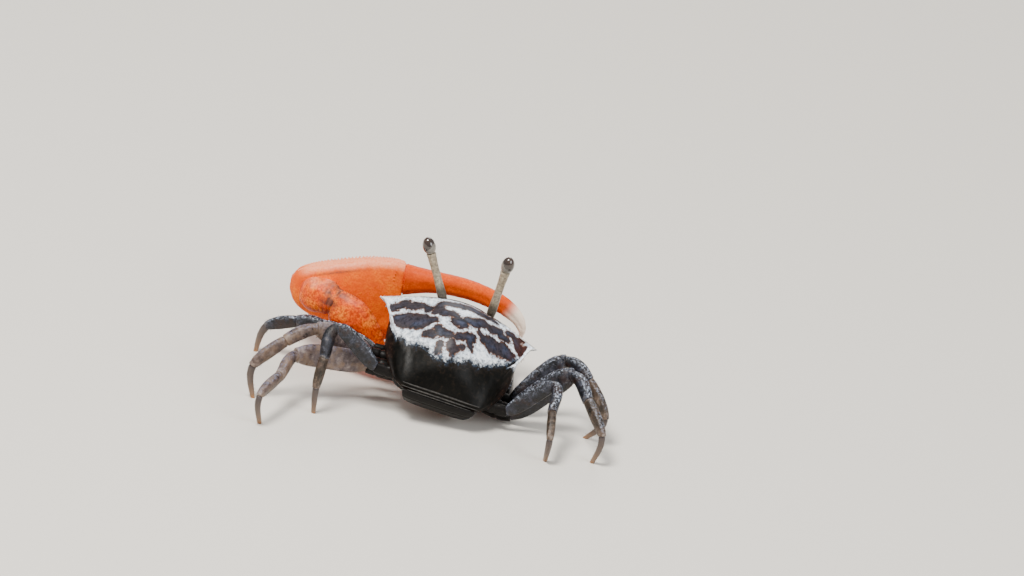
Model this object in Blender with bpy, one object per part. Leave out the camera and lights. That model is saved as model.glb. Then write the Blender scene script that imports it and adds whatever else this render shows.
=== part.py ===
# Male fiddler crab with its big claw on its left, a life-size still model.
# Metres, +Z up. The crab faces -Y, and its left side is +X.
# The origin is on the floor, under the middle of the crab's box.

import math

import bmesh
import bpy
from mathutils import Matrix, Vector

MM = 0.001
GAP = 0.3 * MM  # clearance between neighbouring shell pieces
CUT_TOLERANCE = 0.001 * MM  # points this near to a cutting plane count as on it

# Stance of the body. Its own frame has x to the left, y to the back, z up,
# and its origin at the level of the front corners, on the middle plane.
BODY_HEIGHT = 9.4 * MM
NOSE_UP = math.radians(12.0)
RIGHT_SIDE_DOWN = math.radians(11.0)

# Carapace: one row for each section from the front margin to the rear margin.
# Place along the body, half width and height of the ridge, height of the back
# on the middle line, half width of the flank, height of the underside.
CARAPACE_SECTIONS = (
    (-6.1, 10.2, -0.45, 1.60, 7.5, -4.9),
    (-5.5, 9.55, -0.50, 1.98, 7.8, -4.9),
    (-4.4, 9.15, -0.52, 2.35, 8.0, -4.9),
    (-3.0, 8.75, -0.58, 2.60, 8.15, -4.9),
    (-1.0, 8.00, -0.80, 2.60, 8.15, -4.9),
    (1.0, 7.00, -1.15, 2.15, 8.0, -4.85),
    (3.0, 6.20, -1.85, 1.10, 7.5, -4.8),
    (4.8, 5.75, -2.75, -0.60, 6.7, -4.8),
    (5.7, 5.50, -3.30, -2.00, 6.1, -4.8),
    (6.3, 5.20, -3.70, -3.40, 5.2, -4.75),
)
CARAPACE_RINGS = 19
CARAPACE_SWEEP_BACK = 1.45 * MM  # how far the front corners lie behind the front lobe
CARAPACE_REAR_SWEEP = 0.45 * MM
CARAPACE_FACE_SLOPE = 0.27  # lean of the face below the front margin
ARCH_POWER = 1.6
CORNER_HALF_WIDTH = 10.2 * MM
BACK_POINTS = 9
RIM = 0.28 * MM
# Rings that close the face and the rear end: their share of the end section's size,
# and the height that they shrink towards.
FACE_INSETS = (0.25, 0.55, 0.8, 0.94)
FACE_MIDDLE = -1.4
REAR_INSETS = (0.85, 0.5)
REAR_MIDDLE = -4.2

# Orbits: a trench under the front margin on each side of the front lobe.
ORBIT_RADIUS = 0.74 * MM
ORBIT_DROP = 0.98 * MM
ORBIT_INNER = 2.3 * MM
ORBIT_OUTER = 9.2 * MM
ORBIT_TAPER = 0.35  # share of its radius that the trench loses towards the corner
ORBIT_RISE = 0.25  # share of its drop that it loses on the same way
ORBIT_FORWARD = 0.25 * MM
ORBIT_STEPS = 10
TRENCH_END = 0.55  # size of the trench's closing sections
LOBE_HEIGHT = 1.25 * MM
LOBE_RECESS = 0.5 * MM
LOBE_STEPS = 6
RIM_GRANULES = 11
GRANULE_RADIUS = 0.24 * MM
GRANULE_INSET = (0.9 * MM, 0.4 * MM)  # first and last grain, from the ends of the orbit
GRANULE_SEAT = Vector((0.14, 0.1)) * MM  # how far the grains lie behind the margin and below the trench
GRANULE_LEAN = 0.2

# Eyes on their stalks. The feet are in the body frame, the reach of each stalk is in
# world directions from its foot.
STALK_FOOT = {"left": Vector((2.5, -6.05, 0.75)) * MM, "right": Vector((-3.42, -6.05, 0.65)) * MM}
STALK_RADII = (0.36, 0.58, 0.55, 0.51, 0.49, 0.52, 0.62)
STALK_REACH = {"left": Vector((2.5, -0.1, 6.0)) * MM, "right": Vector((-0.92, 1.0, 6.86)) * MM}
STALK_SUNK = 0.5 * MM  # length of a stalk below its foot, inside the orbit
EYE_RADIUS = 0.82 * MM
EYE_LENGTH = 2.3 * MM
EYE_SEAT = -0.72  # where the eye is cut flat, as a share of its half length

# Thorax and tail, in the body frame: place along the body, half width, height.
THORAX_SECTIONS = (
    (-3.9, 2.6, -6.1),
    (-3.0, 4.6, -6.5),
    (-1.4, 6.1, -6.8),
    (1.0, 6.4, -6.85),
    (3.2, 5.9, -6.7),
    (4.9, 4.9, -6.0),
)
THORAX_TOP = -4.4 * MM
SEAM_DEPTH = 0.16 * MM
TAIL_PATH = (
    (6.1, -5.15, 4.9),
    (5.85, -5.8, 4.7),
    (5.3, -6.5, 4.1),
    (4.3, -7.1, 3.4),
    (2.9, -7.45, 3.1),
    (1.3, -7.55, 2.7),
    (-0.4, -7.5, 2.2),
    (-1.9, -7.4, 1.6),
    (-2.9, -7.3, 0.7),
)
TAIL_THICKNESS = 0.7 * MM
TAIL_STEP = 0.06 * MM  # each ring of the tail steps down this much from the one before it

# Mouth plates, in the body frame.
MOUTH_PLATE_CENTRE = Vector((2.05, -5.3, -3.0)) * MM
MOUTH_PLATE_HALF = Vector((1.85, 0.95, 2.1)) * MM
MOUTH_PLATE_LEAN = 1.3 * math.atan(CARAPACE_FACE_SLOPE)
MOUTH_PLATE_POWERS = ((0, 0.7), (2, 0.75))  # how square the plate is, across and up

# Feelers, in the body frame.
FEELER_PATH = (
    (4.3, -5.4, -0.7),
    (4.5, -6.1, -0.75),
    (4.9, -6.7, -0.9),
    (5.5, -7.2, -1.2),
    (6.2, -7.5, -1.7),
)
FEELER_RADII = (0.42, 0.42, 0.3, 0.26, 0.12)

# Walking legs, counted from the front. Hips are in the body frame, for the left
# side. Lengths are those of the merus, carpus, propodus and dactyl.
HIPS = (
    Vector((8.6, -2.6, -6.75)) * MM,
    Vector((9.2, -0.4, -6.2)) * MM,
    Vector((9.2, 1.8, -6.0)) * MM,
    Vector((8.4, 3.9, -4.4)) * MM,
)
LEG_LENGTHS = ((7.2, 3.3, 4.0, 3.8), (8.6, 4.1, 4.9, 4.4), (9.6, 4.1, 4.9, 4.2), (7.0, 3.9, 3.8, 3.6))
MERUS_HALF_HEIGHTS = (1.05, 1.4, 1.5, 0.95)
# Degrees: plan direction of the merus (0 is straight out, + is back), its rise,
# plan direction of the lower leg, drop of the carpus, drop of the dactyl.
LEG_ANGLES = {
    "left": ((-21, 6, -12, 8, 76), (30, 27, 24, 22, 98), (25, 8, 68, 20, 106), (8, 40, 66, 54, 96)),
    "right": ((-92, 3, -112, -8, 88), (-9, 47, 40, 12, 122), (8, 44, 55, 20, 104), (6, 41, 86, 30, 110)),
}
FOOT_RADIUS = 0.26 * MM
FOOT_OVERRUN = 0.35 * MM  # length of toe below the floor, where it is cut level
LEG_ROOT = Vector((-3.6, 0.0, 0.15)) * MM  # from a hip to the leg's root in the thorax
LEG_SIDES = 10

# Big claw. It is held across the front in an upright plane. Sections of the
# palm: distance from its heel, top, bottom, inner and outer half thickness.
CLAW_PLANE = -11.5 * MM
CLAW_HEEL = 21.3 * MM
PALM_SECTIONS = (
    (0.0, 9.1, 7.5, 0.5, 0.5),
    (0.8, 10.3, 6.0, 1.2, 1.4),
    (2.5, 11.2, 4.8, 1.5, 2.2),
    (5.5, 12.2, 3.8, 1.65, 2.6),
    (9.0, 13.2, 3.1, 1.6, 2.6),
    (12.0, 13.65, 2.95, 1.45, 2.1),
    (13.6, 13.55, 3.2, 1.25, 1.55),
)
# Fingers: distance from the heel, height, half height, half thickness.
FIXED_FINGER = (
    (11.6, 5.9, 2.9, 1.5),
    (14.5, 5.15, 2.3, 1.5),
    (17.0, 4.35, 1.75, 1.3),
    (20.0, 4.0, 1.5, 1.0),
    (23.0, 4.15, 1.35, 0.85),
    (25.5, 4.65, 1.1, 0.7),
    (27.2, 5.35, 0.7, 0.5),
    (28.0, 5.9, 0.28, 0.25),
)
MOVING_FINGER = (
    (13.9, 11.45, 2.1, 1.35),
    (16.0, 11.7, 1.72, 1.25),
    (18.2, 11.8, 1.5, 1.15),
    (20.4, 11.75, 1.47, 1.05),
    (22.4, 11.5, 1.43, 0.95),
    (24.3, 11.0, 1.36, 0.9),
    (26.1, 10.3, 1.24, 0.8),
    (27.5, 9.4, 1.05, 0.7),
    (28.5, 8.4, 0.78, 0.55),
    (29.0, 7.3, 0.5, 0.4),
    (29.05, 6.35, 0.2, 0.18),
)
TEETH = 11
TOOTH_RADIUS = 0.34 * MM
TOOTH_HEIGHT = 0.5 * MM
TOOTH_ROW = (0.14, 0.82)  # first and last tooth, as shares of the finger's length
LARGE_TEETH = (3, 7)
PALM_TUBERCLES = 13
TUBERCLE_RADIUS = 0.3 * MM
TUBERCLE_ROW = (0.2, 0.94)  # first and last tubercle, as shares of the palm's length
TUBERCLE_SUNK = 0.12
PALM_ROWS = 11
BIG_ARM_ROOT = Vector((8.6, -5.8, 2.4)) * MM
BIG_ELBOW = Vector((15.2, -7.7, 8.4)) * MM
BIG_WRIST = Vector((18.5, -10.65, 8.0)) * MM
BIG_WRIST_FACING = Vector((-0.2, -0.98, 0.0)).normalized()
BIG_MERUS_HALF = (3.15, 1.5)
BIG_CARPUS_HALF = (2.15, 1.9)
CLAW_ROOTS = {"left": Vector((4.6, -2.9, -6.3)) * MM, "right": Vector((-3.9, -3.0, -5.7)) * MM}
CLAW_BASES = {"left": (0.85, 0.95), "right": (0.5, 0.6)}

# Small claw, held folded in front of the mouth, in world places.
SMALL_ARM = (
    Vector((-5.6, -6.3, 3.9)) * MM,
    Vector((-8.0, -7.9, 5.7)) * MM,
    Vector((-7.3, -9.2, 4.5)) * MM,
    Vector((-4.8, -9.1, 4.2)) * MM,
    Vector((-1.9, -8.5, 4.6)) * MM,
)
SMALL_PALM_HALF = (1.05, 0.6)
SMALL_FINGER_HALF = (0.42, 0.36)
SMALL_FINGER_SPREAD = (0.56 * MM, 0.32 * MM)  # half distance of the fingers, at base and tip
SMALL_FINGER_SUNK = 0.6 * MM  # length of the fixed finger inside the palm

# Colours, linear, with a roughness: shell pieces are glossy, joints less so.
FINISHES = {
    "carapace": ((0.05, 0.055, 0.07, 1.0), 0.25),
    "underside": ((0.16, 0.14, 0.13, 1.0), 0.45),
    "leg": ((0.09, 0.08, 0.09, 1.0), 0.4),
    "dactyl": ((0.25, 0.13, 0.07, 1.0), 0.45),
    "claw": ((0.85, 0.13, 0.02, 1.0), 0.35),
    "small_claw": ((0.45, 0.2, 0.1, 1.0), 0.4),
    "stalk": ((0.4, 0.37, 0.31, 1.0), 0.5),
    "eye": ((0.06, 0.045, 0.04, 1.0), 0.12),
}

UP = Vector((0.0, 0.0, 1.0))


def clear_scene():
    for item in list(bpy.data.objects):
        bpy.data.objects.remove(item)
    for mesh in list(bpy.data.meshes):
        bpy.data.meshes.remove(mesh)


def body_matrix():
    """Body frame to world."""
    pitch = Matrix.Rotation(-NOSE_UP, 4, "X")
    roll = Matrix.Rotation(-RIGHT_SIDE_DOWN, 4, "Y")
    return Matrix.Translation((0.0, 0.0, BODY_HEIGHT)) @ pitch @ roll


BODY = body_matrix()


def smooth_key(keys, t):
    """Value at t, from 0 to 1, on the smooth curve through evenly spaced keys."""
    spot = t * (len(keys) - 1)
    i = min(int(spot), len(keys) - 2)
    f = spot - i
    before, start, end, after = (keys[min(max(k, 0), len(keys) - 1)] for k in range(i - 1, i + 3))
    values = []
    for a, b, c, d in zip(before, start, end, after):
        curve = 2 * b + (c - a) * f + (2 * a - 5 * b + 4 * c - d) * f**2
        curve += (3 * b - a - 3 * c + d) * f**3
        values.append(curve / 2)
    return values


def section(centre, across, upward, half_across, half_up, half_down, sides, power=2.3):
    """One closed section of a limb: a superellipse with its own top and bottom halves."""
    points = []
    for i in range(sides):
        angle = 2 * math.pi * (i + 0.5) / sides
        c = math.cos(angle)
        s = math.sin(angle)
        half_height = half_up if s > 0 else half_down
        x = math.copysign(abs(c) ** (2 / power), c) * half_across
        z = math.copysign(abs(s) ** (2 / power), s) * half_height
        points.append(centre + across * x + upward * z)
    return points


def loft(rings):
    """Closed body through sections that differ in shape."""
    bm = bmesh.new()
    loops = [[bm.verts.new(point) for point in ring] for ring in rings]
    count = len(loops[0])
    for near, far in zip(loops, loops[1:]):
        for i in range(count):
            j = (i + 1) % count
            bm.faces.new((near[i], near[j], far[j], far[i]))
    bm.faces.new(loops[0])
    bm.faces.new(loops[-1])
    bmesh.ops.recalc_face_normals(bm, faces=bm.faces)
    return bm


def make_object(name, bm):
    """Object from a finished bmesh, shaded smooth but for its sharp edges."""
    bmesh.ops.triangulate(bm, faces=[face for face in bm.faces if len(face.verts) > 4])
    mesh = bpy.data.meshes.new(name)
    bm.to_mesh(mesh)
    bm.free()
    mesh.shade_smooth()
    mesh.set_sharp_from_angle(angle=math.radians(40.0))
    item = bpy.data.objects.new(name, mesh)
    bpy.context.scene.collection.objects.link(item)
    return item


def keep_largest(item):
    """Keep the largest closed surface of an object."""
    bm = bmesh.new()
    bm.from_mesh(item.data)
    unseen = set(bm.faces)
    shells = []
    while unseen:
        stack = [unseen.pop()]
        shell = []
        while stack:
            face = stack.pop()
            shell.append(face)
            for edge in face.edges:
                for other in edge.link_faces:
                    if other in unseen:
                        unseen.remove(other)
                        stack.append(other)
        shells.append(shell)
    shells.sort(key=lambda shell: sum(face.calc_area() for face in shell))
    for shell in shells[:-1]:
        bmesh.ops.delete(bm, geom=shell, context="FACES")
    bm.to_mesh(item.data)
    bm.free()


def is_closed(mesh):
    """True where every edge of a mesh has two faces."""
    bm = bmesh.new()
    bm.from_mesh(mesh)
    closed = all(len(edge.link_faces) == 2 for edge in bm.edges)
    bm.free()
    return closed


def boolean(target, others, operation):
    """Join or cut with a collection of closed objects, which are then removed."""
    tools = bpy.data.collections.new("tools")
    bpy.context.scene.collection.children.link(tools)
    for other in others:
        bpy.context.scene.collection.objects.unlink(other)
        tools.objects.link(other)
    modifier = target.modifiers.new("Shape", "BOOLEAN")
    modifier.operation = operation
    modifier.operand_type = "COLLECTION"
    modifier.collection = tools
    for solver in ("EXACT", "MANIFOLD"):
        modifier.solver = solver
        bpy.context.view_layer.update()
        evaluated = target.evaluated_get(bpy.context.evaluated_depsgraph_get())
        mesh = bpy.data.meshes.new_from_object(evaluated)
        if is_closed(mesh):
            break
    target.modifiers.remove(modifier)
    target.data = mesh
    mesh.name = target.name
    for other in others:
        bpy.data.objects.remove(other)
    bpy.data.collections.remove(tools)
    keep_largest(target)


def finish(item, kind):
    """Give an object its own material in the finish of its kind."""
    colour, roughness = FINISHES[kind]
    material = bpy.data.materials.new(item.name)
    material.use_nodes = True
    shader = material.node_tree.nodes["Principled BSDF"]
    shader.inputs["Base Color"].default_value = colour
    shader.inputs["Roughness"].default_value = roughness
    shader.inputs["Metallic"].default_value = 0.0
    item.data.materials.clear()
    item.data.materials.append(material)
    return item


def grown(item, distance):
    """Copy of a smooth closed object, larger by a distance all round, as a cutter."""
    copy = item.copy()
    copy.data = item.data.copy()
    bpy.context.scene.collection.objects.link(copy)
    bm = bmesh.new()
    bm.from_mesh(copy.data)
    bm.normal_update()
    moves = [(vert, vert.normal.copy()) for vert in bm.verts]
    for vert, normal in moves:
        vert.co += normal * distance
    bm.to_mesh(copy.data)
    bm.free()
    copy.hide_render = True
    copy.display_type = "WIRE"
    return copy


# Carapace


def back_height(row, x):
    """Height of the back of a carapace section at a distance from the middle."""
    _, ridge_width, ridge_height, crest = row[:4]
    share = min(abs(x) / ridge_width, 1.0)
    return ridge_height + (crest - ridge_height) * (1 - share**2) ** ARCH_POWER


def half_section(row):
    """Outline of half a carapace section, from the middle of the back to the middle below."""
    _, ridge, ridge_z, _, flank, floor = row
    outline = []
    for i in range(BACK_POINTS):
        x = ridge * i / (BACK_POINTS - 1)
        outline.append((x, back_height(row, x)))
    rim = RIM / MM
    tuck = ridge - rim if ridge > flank else ridge
    flank_z = 0.5 * (ridge_z + floor)
    outline.append((tuck, ridge_z - rim))
    outline.append((tuck + 0.62 * (flank - tuck), ridge_z + 0.5 * (flank_z - ridge_z) - 0.5 * rim))
    outline.append((flank, flank_z))
    outline.append((flank - 0.55, 0.4 * flank_z + 0.6 * floor))
    outline.append((0.78 * flank, floor))
    outline.append((0.4 * flank, floor))
    return outline


def carapace_point(row, x, z):
    """Place of a section's point: the front and rear margins are bowed, the face leans back."""
    y, _, ridge_z = row[:3]
    first = CARAPACE_SECTIONS[0][0]
    last = CARAPACE_SECTIONS[-1][0]
    s = (y - first) / (last - first)
    y += (1 - s) ** 2 * CARAPACE_SWEEP_BACK / MM * (x * MM / CORNER_HALF_WIDTH) ** 2
    y -= s**3 * CARAPACE_REAR_SWEEP / MM * (x / CARAPACE_SECTIONS[-1][1]) ** 2
    y += (1 - s) ** 3 * CARAPACE_FACE_SLOPE * max(0.0, ridge_z - z)
    return Vector((x, y, z)) * MM


def carapace_ring(row, inset=1.0, middle_z=0.0):
    """Whole closed ring of one section, drawn in towards the middle where it closes an end."""
    half = half_section(row)
    right = [(-x, z) for x, z in reversed(half[1:])]
    outline = half + [(0.0, row[5])] + right
    points = []
    for x, z in outline:
        points.append(carapace_point(row, x * inset, middle_z + (z - middle_z) * inset))
    return points


def carapace_body():
    """The shell without its orbits: back, flanks and face in one closed loft."""
    rows = [smooth_key(CARAPACE_SECTIONS, i / (CARAPACE_RINGS - 1)) for i in range(CARAPACE_RINGS)]
    rings = [carapace_ring(rows[0], inset, FACE_MIDDLE) for inset in FACE_INSETS]
    rings += [carapace_ring(row) for row in rows]
    rings += [carapace_ring(rows[-1], inset, REAR_MIDDLE) for inset in REAR_INSETS]
    bm = loft(rings)
    bmesh.ops.poke(bm, faces=[face for face in bm.faces if len(face.verts) > 4])
    bmesh.ops.transform(bm, matrix=BODY, verts=bm.verts)
    return make_object("carapace", bm)


def front_margin(x):
    """Point on the upper front margin at a distance from the middle, in the body frame."""
    row = CARAPACE_SECTIONS[0]
    return carapace_point(row, x / MM, back_height(row, x / MM))


def orbit_cutter(side):
    """Round trench that follows the front margin, from beside the front lobe to the corner."""
    rings = []
    for i in range(ORBIT_STEPS + 1):
        t = i / ORBIT_STEPS
        x = ORBIT_INNER + (ORBIT_OUTER - ORBIT_INNER) * t
        radius = ORBIT_RADIUS * (1.0 - ORBIT_TAPER * t) * (TRENCH_END if i in (0, ORBIT_STEPS) else 1.0)
        centre = front_margin(x) + Vector((0.0, -ORBIT_FORWARD, -ORBIT_DROP * (1.0 - ORBIT_RISE * t)))
        centre.x *= side
        forward = Vector((0.0, 1.0, 0.0))
        rings.append(section(centre, forward, UP, radius, radius, radius, 8, 2.0))
    bm = loft(rings)
    bmesh.ops.transform(bm, matrix=BODY, verts=bm.verts)
    return make_object("orbit", bm)


def lobe_cutter():
    """Recess under the front lobe, so that the lobe hangs free."""
    rings = []
    for i in range(LOBE_STEPS + 1):
        x = ORBIT_INNER * (2 * i / LOBE_STEPS - 1)
        centre = front_margin(abs(x)) + Vector((0.0, 0.0, -LOBE_HEIGHT - LOBE_RECESS))
        centre.x = x
        radius = LOBE_RECESS * (TRENCH_END if i in (0, LOBE_STEPS) else 1.0)
        rings.append(section(centre, Vector((0.0, 1.0, 0.0)), UP, radius, radius, radius, 8, 2.0))
    bm = loft(rings)
    bmesh.ops.transform(bm, matrix=BODY, verts=bm.verts)
    return make_object("recess", bm)


def granule(centre, radius):
    """Small rounded grain of shell."""
    bm = bmesh.new()
    bmesh.ops.create_icosphere(bm, subdivisions=1, radius=radius, matrix=Matrix.Translation(centre))
    return make_object("granule", bm)


def orbit_granules(side):
    """Row of grains along the lower rim of an orbit."""
    grains = []
    first = ORBIT_INNER + GRANULE_INSET[0]
    last = ORBIT_OUTER - GRANULE_INSET[1]
    back, below = GRANULE_SEAT
    for i in range(RIM_GRANULES):
        t = i / (RIM_GRANULES - 1)
        x = first + (last - first) * t
        centre = front_margin(x)
        drop = ORBIT_DROP * (1.0 - ORBIT_RISE * t) + ORBIT_RADIUS * (1.0 - ORBIT_TAPER * t) + below
        grain = Vector((side * x, centre.y + back + GRANULE_LEAN * drop, centre.z - drop))
        grains.append(granule(BODY @ grain, GRANULE_RADIUS * (1.0 - ORBIT_RISE * t)))
    return grains


def build_carapace():
    shell = carapace_body()
    boolean(shell, [lobe_cutter(), orbit_cutter(1), orbit_cutter(-1)], "DIFFERENCE")
    boolean(shell, [stalk("left", GAP), stalk("right", GAP)], "DIFFERENCE")
    boolean(shell, orbit_granules(1) + orbit_granules(-1), "UNION")
    return finish(shell, "carapace")


# Limbs


def joint_side(direction):
    """Level direction across a limb, so that its back edge points up or outwards."""
    level = Vector((direction.x, direction.y, 0.0))
    return UP.cross(level).normalized()


def limb(name, ends, tangents, across, keys, strength=(0.4, 0.4), rings=7, sides=LEG_SIDES, grow=0.0):
    """Piece between two joints. Keys hold half thickness, upper and lower half height."""
    start, end = ends
    length = (end - start).length
    lead = tangents[0] * length * strength[0]
    trail = tangents[1] * length * strength[1]
    loops = []
    for i in range(rings):
        t = i / (rings - 1)
        spot = (2 * t**3 - 3 * t**2 + 1) * start + (t**3 - 2 * t**2 + t) * lead
        spot += (3 * t**2 - 2 * t**3) * end + (t**3 - t**2) * trail
        slope = (6 * t**2 - 6 * t) * (start - end)
        slope += (3 * t**2 - 4 * t + 1) * lead + (3 * t**2 - 2 * t) * trail
        if i == 0:
            slope = tangents[0]
        if i == rings - 1:
            slope = tangents[1]
        slope = slope.normalized()
        side = across[0].lerp(across[1], t)
        upward = slope.cross(side).normalized()
        side = upward.cross(slope).normalized()
        thick, high, low = (value * MM + grow for value in smooth_key(keys, t))
        loops.append(section(spot, side, upward, thick, high, low, sides))
    return make_object(name, loft(loops))


def halfway(first, second):
    """Direction of a joint between two pieces."""
    return (first.normalized() + second.normalized()).normalized()


def leg_joints(side, number):
    """Hip, knee, wrist, ankle and toe of a walking leg, in the world."""
    sign = 1 if side == "left" else -1
    out, rise, turn, carpus_drop, dactyl_drop = (math.radians(a) for a in LEG_ANGLES[side][number])
    merus, carpus, propodus, dactyl = (length * MM for length in LEG_LENGTHS[number])
    hip = HIPS[number].copy()
    hip.x *= sign

    def step(plan, climb, length):
        level = math.cos(climb)
        return Vector((sign * math.cos(plan) * level, math.sin(plan) * level, math.sin(climb))) * length

    joints = [BODY @ hip]
    joints.append(joints[-1] + step(out, rise, merus))
    joints.append(joints[-1] + step(turn, -carpus_drop, carpus))
    # the propodus drops just as far as sets the toe on the floor
    fall = (joints[-1].z - dactyl * math.sin(dactyl_drop)) / propodus
    joints.append(joints[-1] + step(turn, -math.asin(fall), propodus))
    joints.append(joints[-1] + step(turn, -dactyl_drop, dactyl))
    return joints


def leg_keys(number):
    """Half thickness, upper and lower half height of each piece, from joint to joint."""
    tall = MERUS_HALF_HEIGHTS[number]
    thick = 0.45 * tall
    merus = (
        (0.8 * thick, 0.62 * tall, 0.62 * tall),
        (thick, 0.92 * tall, 0.95 * tall),
        (1.05 * thick, 1.0 * tall, 1.0 * tall),
        (thick, 0.95 * tall, 0.9 * tall),
        (0.9 * thick, 0.7 * tall, 0.62 * tall),
    )
    carpus = ((0.62, 0.72, 0.72), (0.66, 0.92, 0.84), (0.6, 0.82, 0.78))
    propodus = ((0.52, 0.74, 0.72), (0.55, 0.86, 0.8), (0.45, 0.62, 0.6))
    foot = FOOT_RADIUS / MM
    dactyl = ((0.4, 0.5, 0.48), (0.36, 0.42, 0.4), (0.31, 0.34, 0.32), (foot, foot, foot))
    return merus, carpus, propodus, dactyl


LEG_PIECES = ("merus", "carpus", "propodus", "dactyl")
LEG_BENDS = ((0.35, 0.45), (1.0, 0.8), (0.5, 0.5), (1.0, 0.7))


def hip_direction(side, number, joints):
    """Direction of a hip joint, between the leg's root in the thorax and its merus."""
    return halfway(joints[0] - leg_root(side, number), joints[1] - joints[0])


def leg_root(side, number):
    """Where a leg grows from the thorax, in the world."""
    sign = 1 if side == "left" else -1
    root = HIPS[number] + LEG_ROOT
    root.x *= sign
    return BODY @ root


def build_leg(side, number):
    joints = leg_joints(side, number)
    foot = joints[-1] - joints[-2]
    # the toe runs on below the floor, where it is cut level
    joints[-1] = joints[-1] + foot.normalized() * FOOT_OVERRUN
    runs = [b - a for a, b in zip(joints, joints[1:])]
    directions = [hip_direction(side, number, joints)]
    directions += [halfway(a, b) for a, b in zip(runs, runs[1:])]
    directions.append((runs[-1].normalized() - 0.25 * UP).normalized())
    sides = [joint_side(run) for run in runs]
    across = [sides[0], sides[0].lerp(sides[1], 0.5), sides[1], sides[1], sides[1]]
    pieces = []
    for i, (piece, keys) in enumerate(zip(LEG_PIECES, leg_keys(number))):
        start = joints[i] + directions[i] * GAP / 2
        end = joints[i + 1] - directions[i + 1] * GAP / 2
        name = f"leg_{side}_{number + 1}_{piece}"
        frames = (across[i], across[i + 1])
        item = limb(name, (start, end), (directions[i], directions[i + 1]), frames, keys, LEG_BENDS[i])
        if piece == "dactyl":
            cut_at_floor(item)
        finish(item, "dactyl" if piece == "dactyl" else "leg")
        pieces.append(item)
    return pieces


def cut_at_floor(item):
    """Small flat under a toe, level with the floor."""
    bm = bmesh.new()
    bm.from_mesh(item.data)
    everything = bm.verts[:] + bm.edges[:] + bm.faces[:]
    cut = bmesh.ops.bisect_plane(bm, geom=everything, dist=CUT_TOLERANCE, plane_co=(0, 0, 0),
                                 plane_no=(0, 0, 1), clear_inner=True)
    rim = [edge for edge in cut["geom_cut"] if isinstance(edge, bmesh.types.BMEdge)]
    bmesh.ops.edgeloop_fill(bm, edges=rim)
    bmesh.ops.recalc_face_normals(bm, faces=bm.faces)
    bmesh.ops.triangulate(bm, faces=[face for face in bm.faces if len(face.verts) > 4])
    bm.to_mesh(item.data)
    bm.free()


# Thorax, tail and mouth


def thorax_body():
    rings = []
    count = 13
    for i in range(count):
        y, half, floor = smooth_key(THORAX_SECTIONS, i / (count - 1))
        # the seams between the breast plates lie a little higher than the plates
        floor += SEAM_DEPTH / MM * (i % 2)
        centre = Vector((0.0, y * MM, (floor * MM + THORAX_TOP) / 2))
        deep = (THORAX_TOP - floor * MM) / 2
        across = Vector((1.0, 0.0, 0.0))
        rings.append(section(centre, across, UP, half * MM, deep, deep, 20, 3.4))
    bm = loft(rings)
    bmesh.ops.transform(bm, matrix=BODY, verts=bm.verts)
    return make_object("thorax", bm)


def limb_base(root, hip, direction, size, grow=0.0):
    """Short stout root of a limb, from inside the thorax to the limb's first joint."""
    start = root
    end = hip - direction * (GAP / 2 - grow)
    run = end - start
    side = joint_side(run)
    thick, tall = size
    keys = ((thick, tall, tall), (1.1 * thick, 1.1 * tall, 1.1 * tall), (thick, tall, tall))
    tangents = (run.normalized(), direction)
    return limb("base", (start, end), tangents, (side, side), keys, (0.5, 0.6), 5, LEG_SIDES, grow)


def limb_bases(grow=0.0):
    """Roots of the eight legs and the two claws."""
    bases = []
    for side in ("left", "right"):
        for number in range(len(HIPS)):
            joints = leg_joints(side, number)
            tall = MERUS_HALF_HEIGHTS[number]
            size = (0.5 * tall, 0.75 * tall)
            direction = hip_direction(side, number, joints)
            bases.append(limb_base(leg_root(side, number), joints[0], direction, size, grow))
        direction = claw_shoulder(side)
        joint = BIG_ARM_ROOT if side == "left" else SMALL_ARM[0]
        bases.append(limb_base(BODY @ CLAW_ROOTS[side], joint, direction, CLAW_BASES[side], grow))
    return bases


def claw_shoulder(side):
    """Direction of the joint between a claw's arm and its root in the thorax."""
    joint, elbow = (BIG_ARM_ROOT, BIG_ELBOW) if side == "left" else SMALL_ARM[:2]
    return halfway(joint - BODY @ CLAW_ROOTS[side], elbow - joint)


def build_thorax(shell):
    thorax = thorax_body()
    boolean(thorax, limb_bases(), "UNION")
    boolean(thorax, [grown(shell, GAP)], "DIFFERENCE")
    return finish(thorax, "underside")


def build_tail():
    """Narrow tail, folded down behind and forward under the thorax."""
    rings = []
    count = 17
    points = [smooth_key(TAIL_PATH, i / (count - 1)) for i in range(count)]
    for i, (y, z, half) in enumerate(points):
        before = points[max(i - 1, 0)]
        after = points[min(i + 1, count - 1)]
        along = Vector((0.0, after[0] - before[0], after[1] - before[1])).normalized()
        across = Vector((1.0, 0.0, 0.0))
        outward = across.cross(along)
        deep = TAIL_THICKNESS / 2 - TAIL_STEP * (i % 2)
        rings.append(section(Vector((0.0, y, z)) * MM, across, outward, half * MM, deep, deep, 12, 4.0))
    bm = loft(rings)
    bmesh.ops.transform(bm, matrix=BODY, verts=bm.verts)
    return finish(make_object("pleon", bm), "underside")


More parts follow.
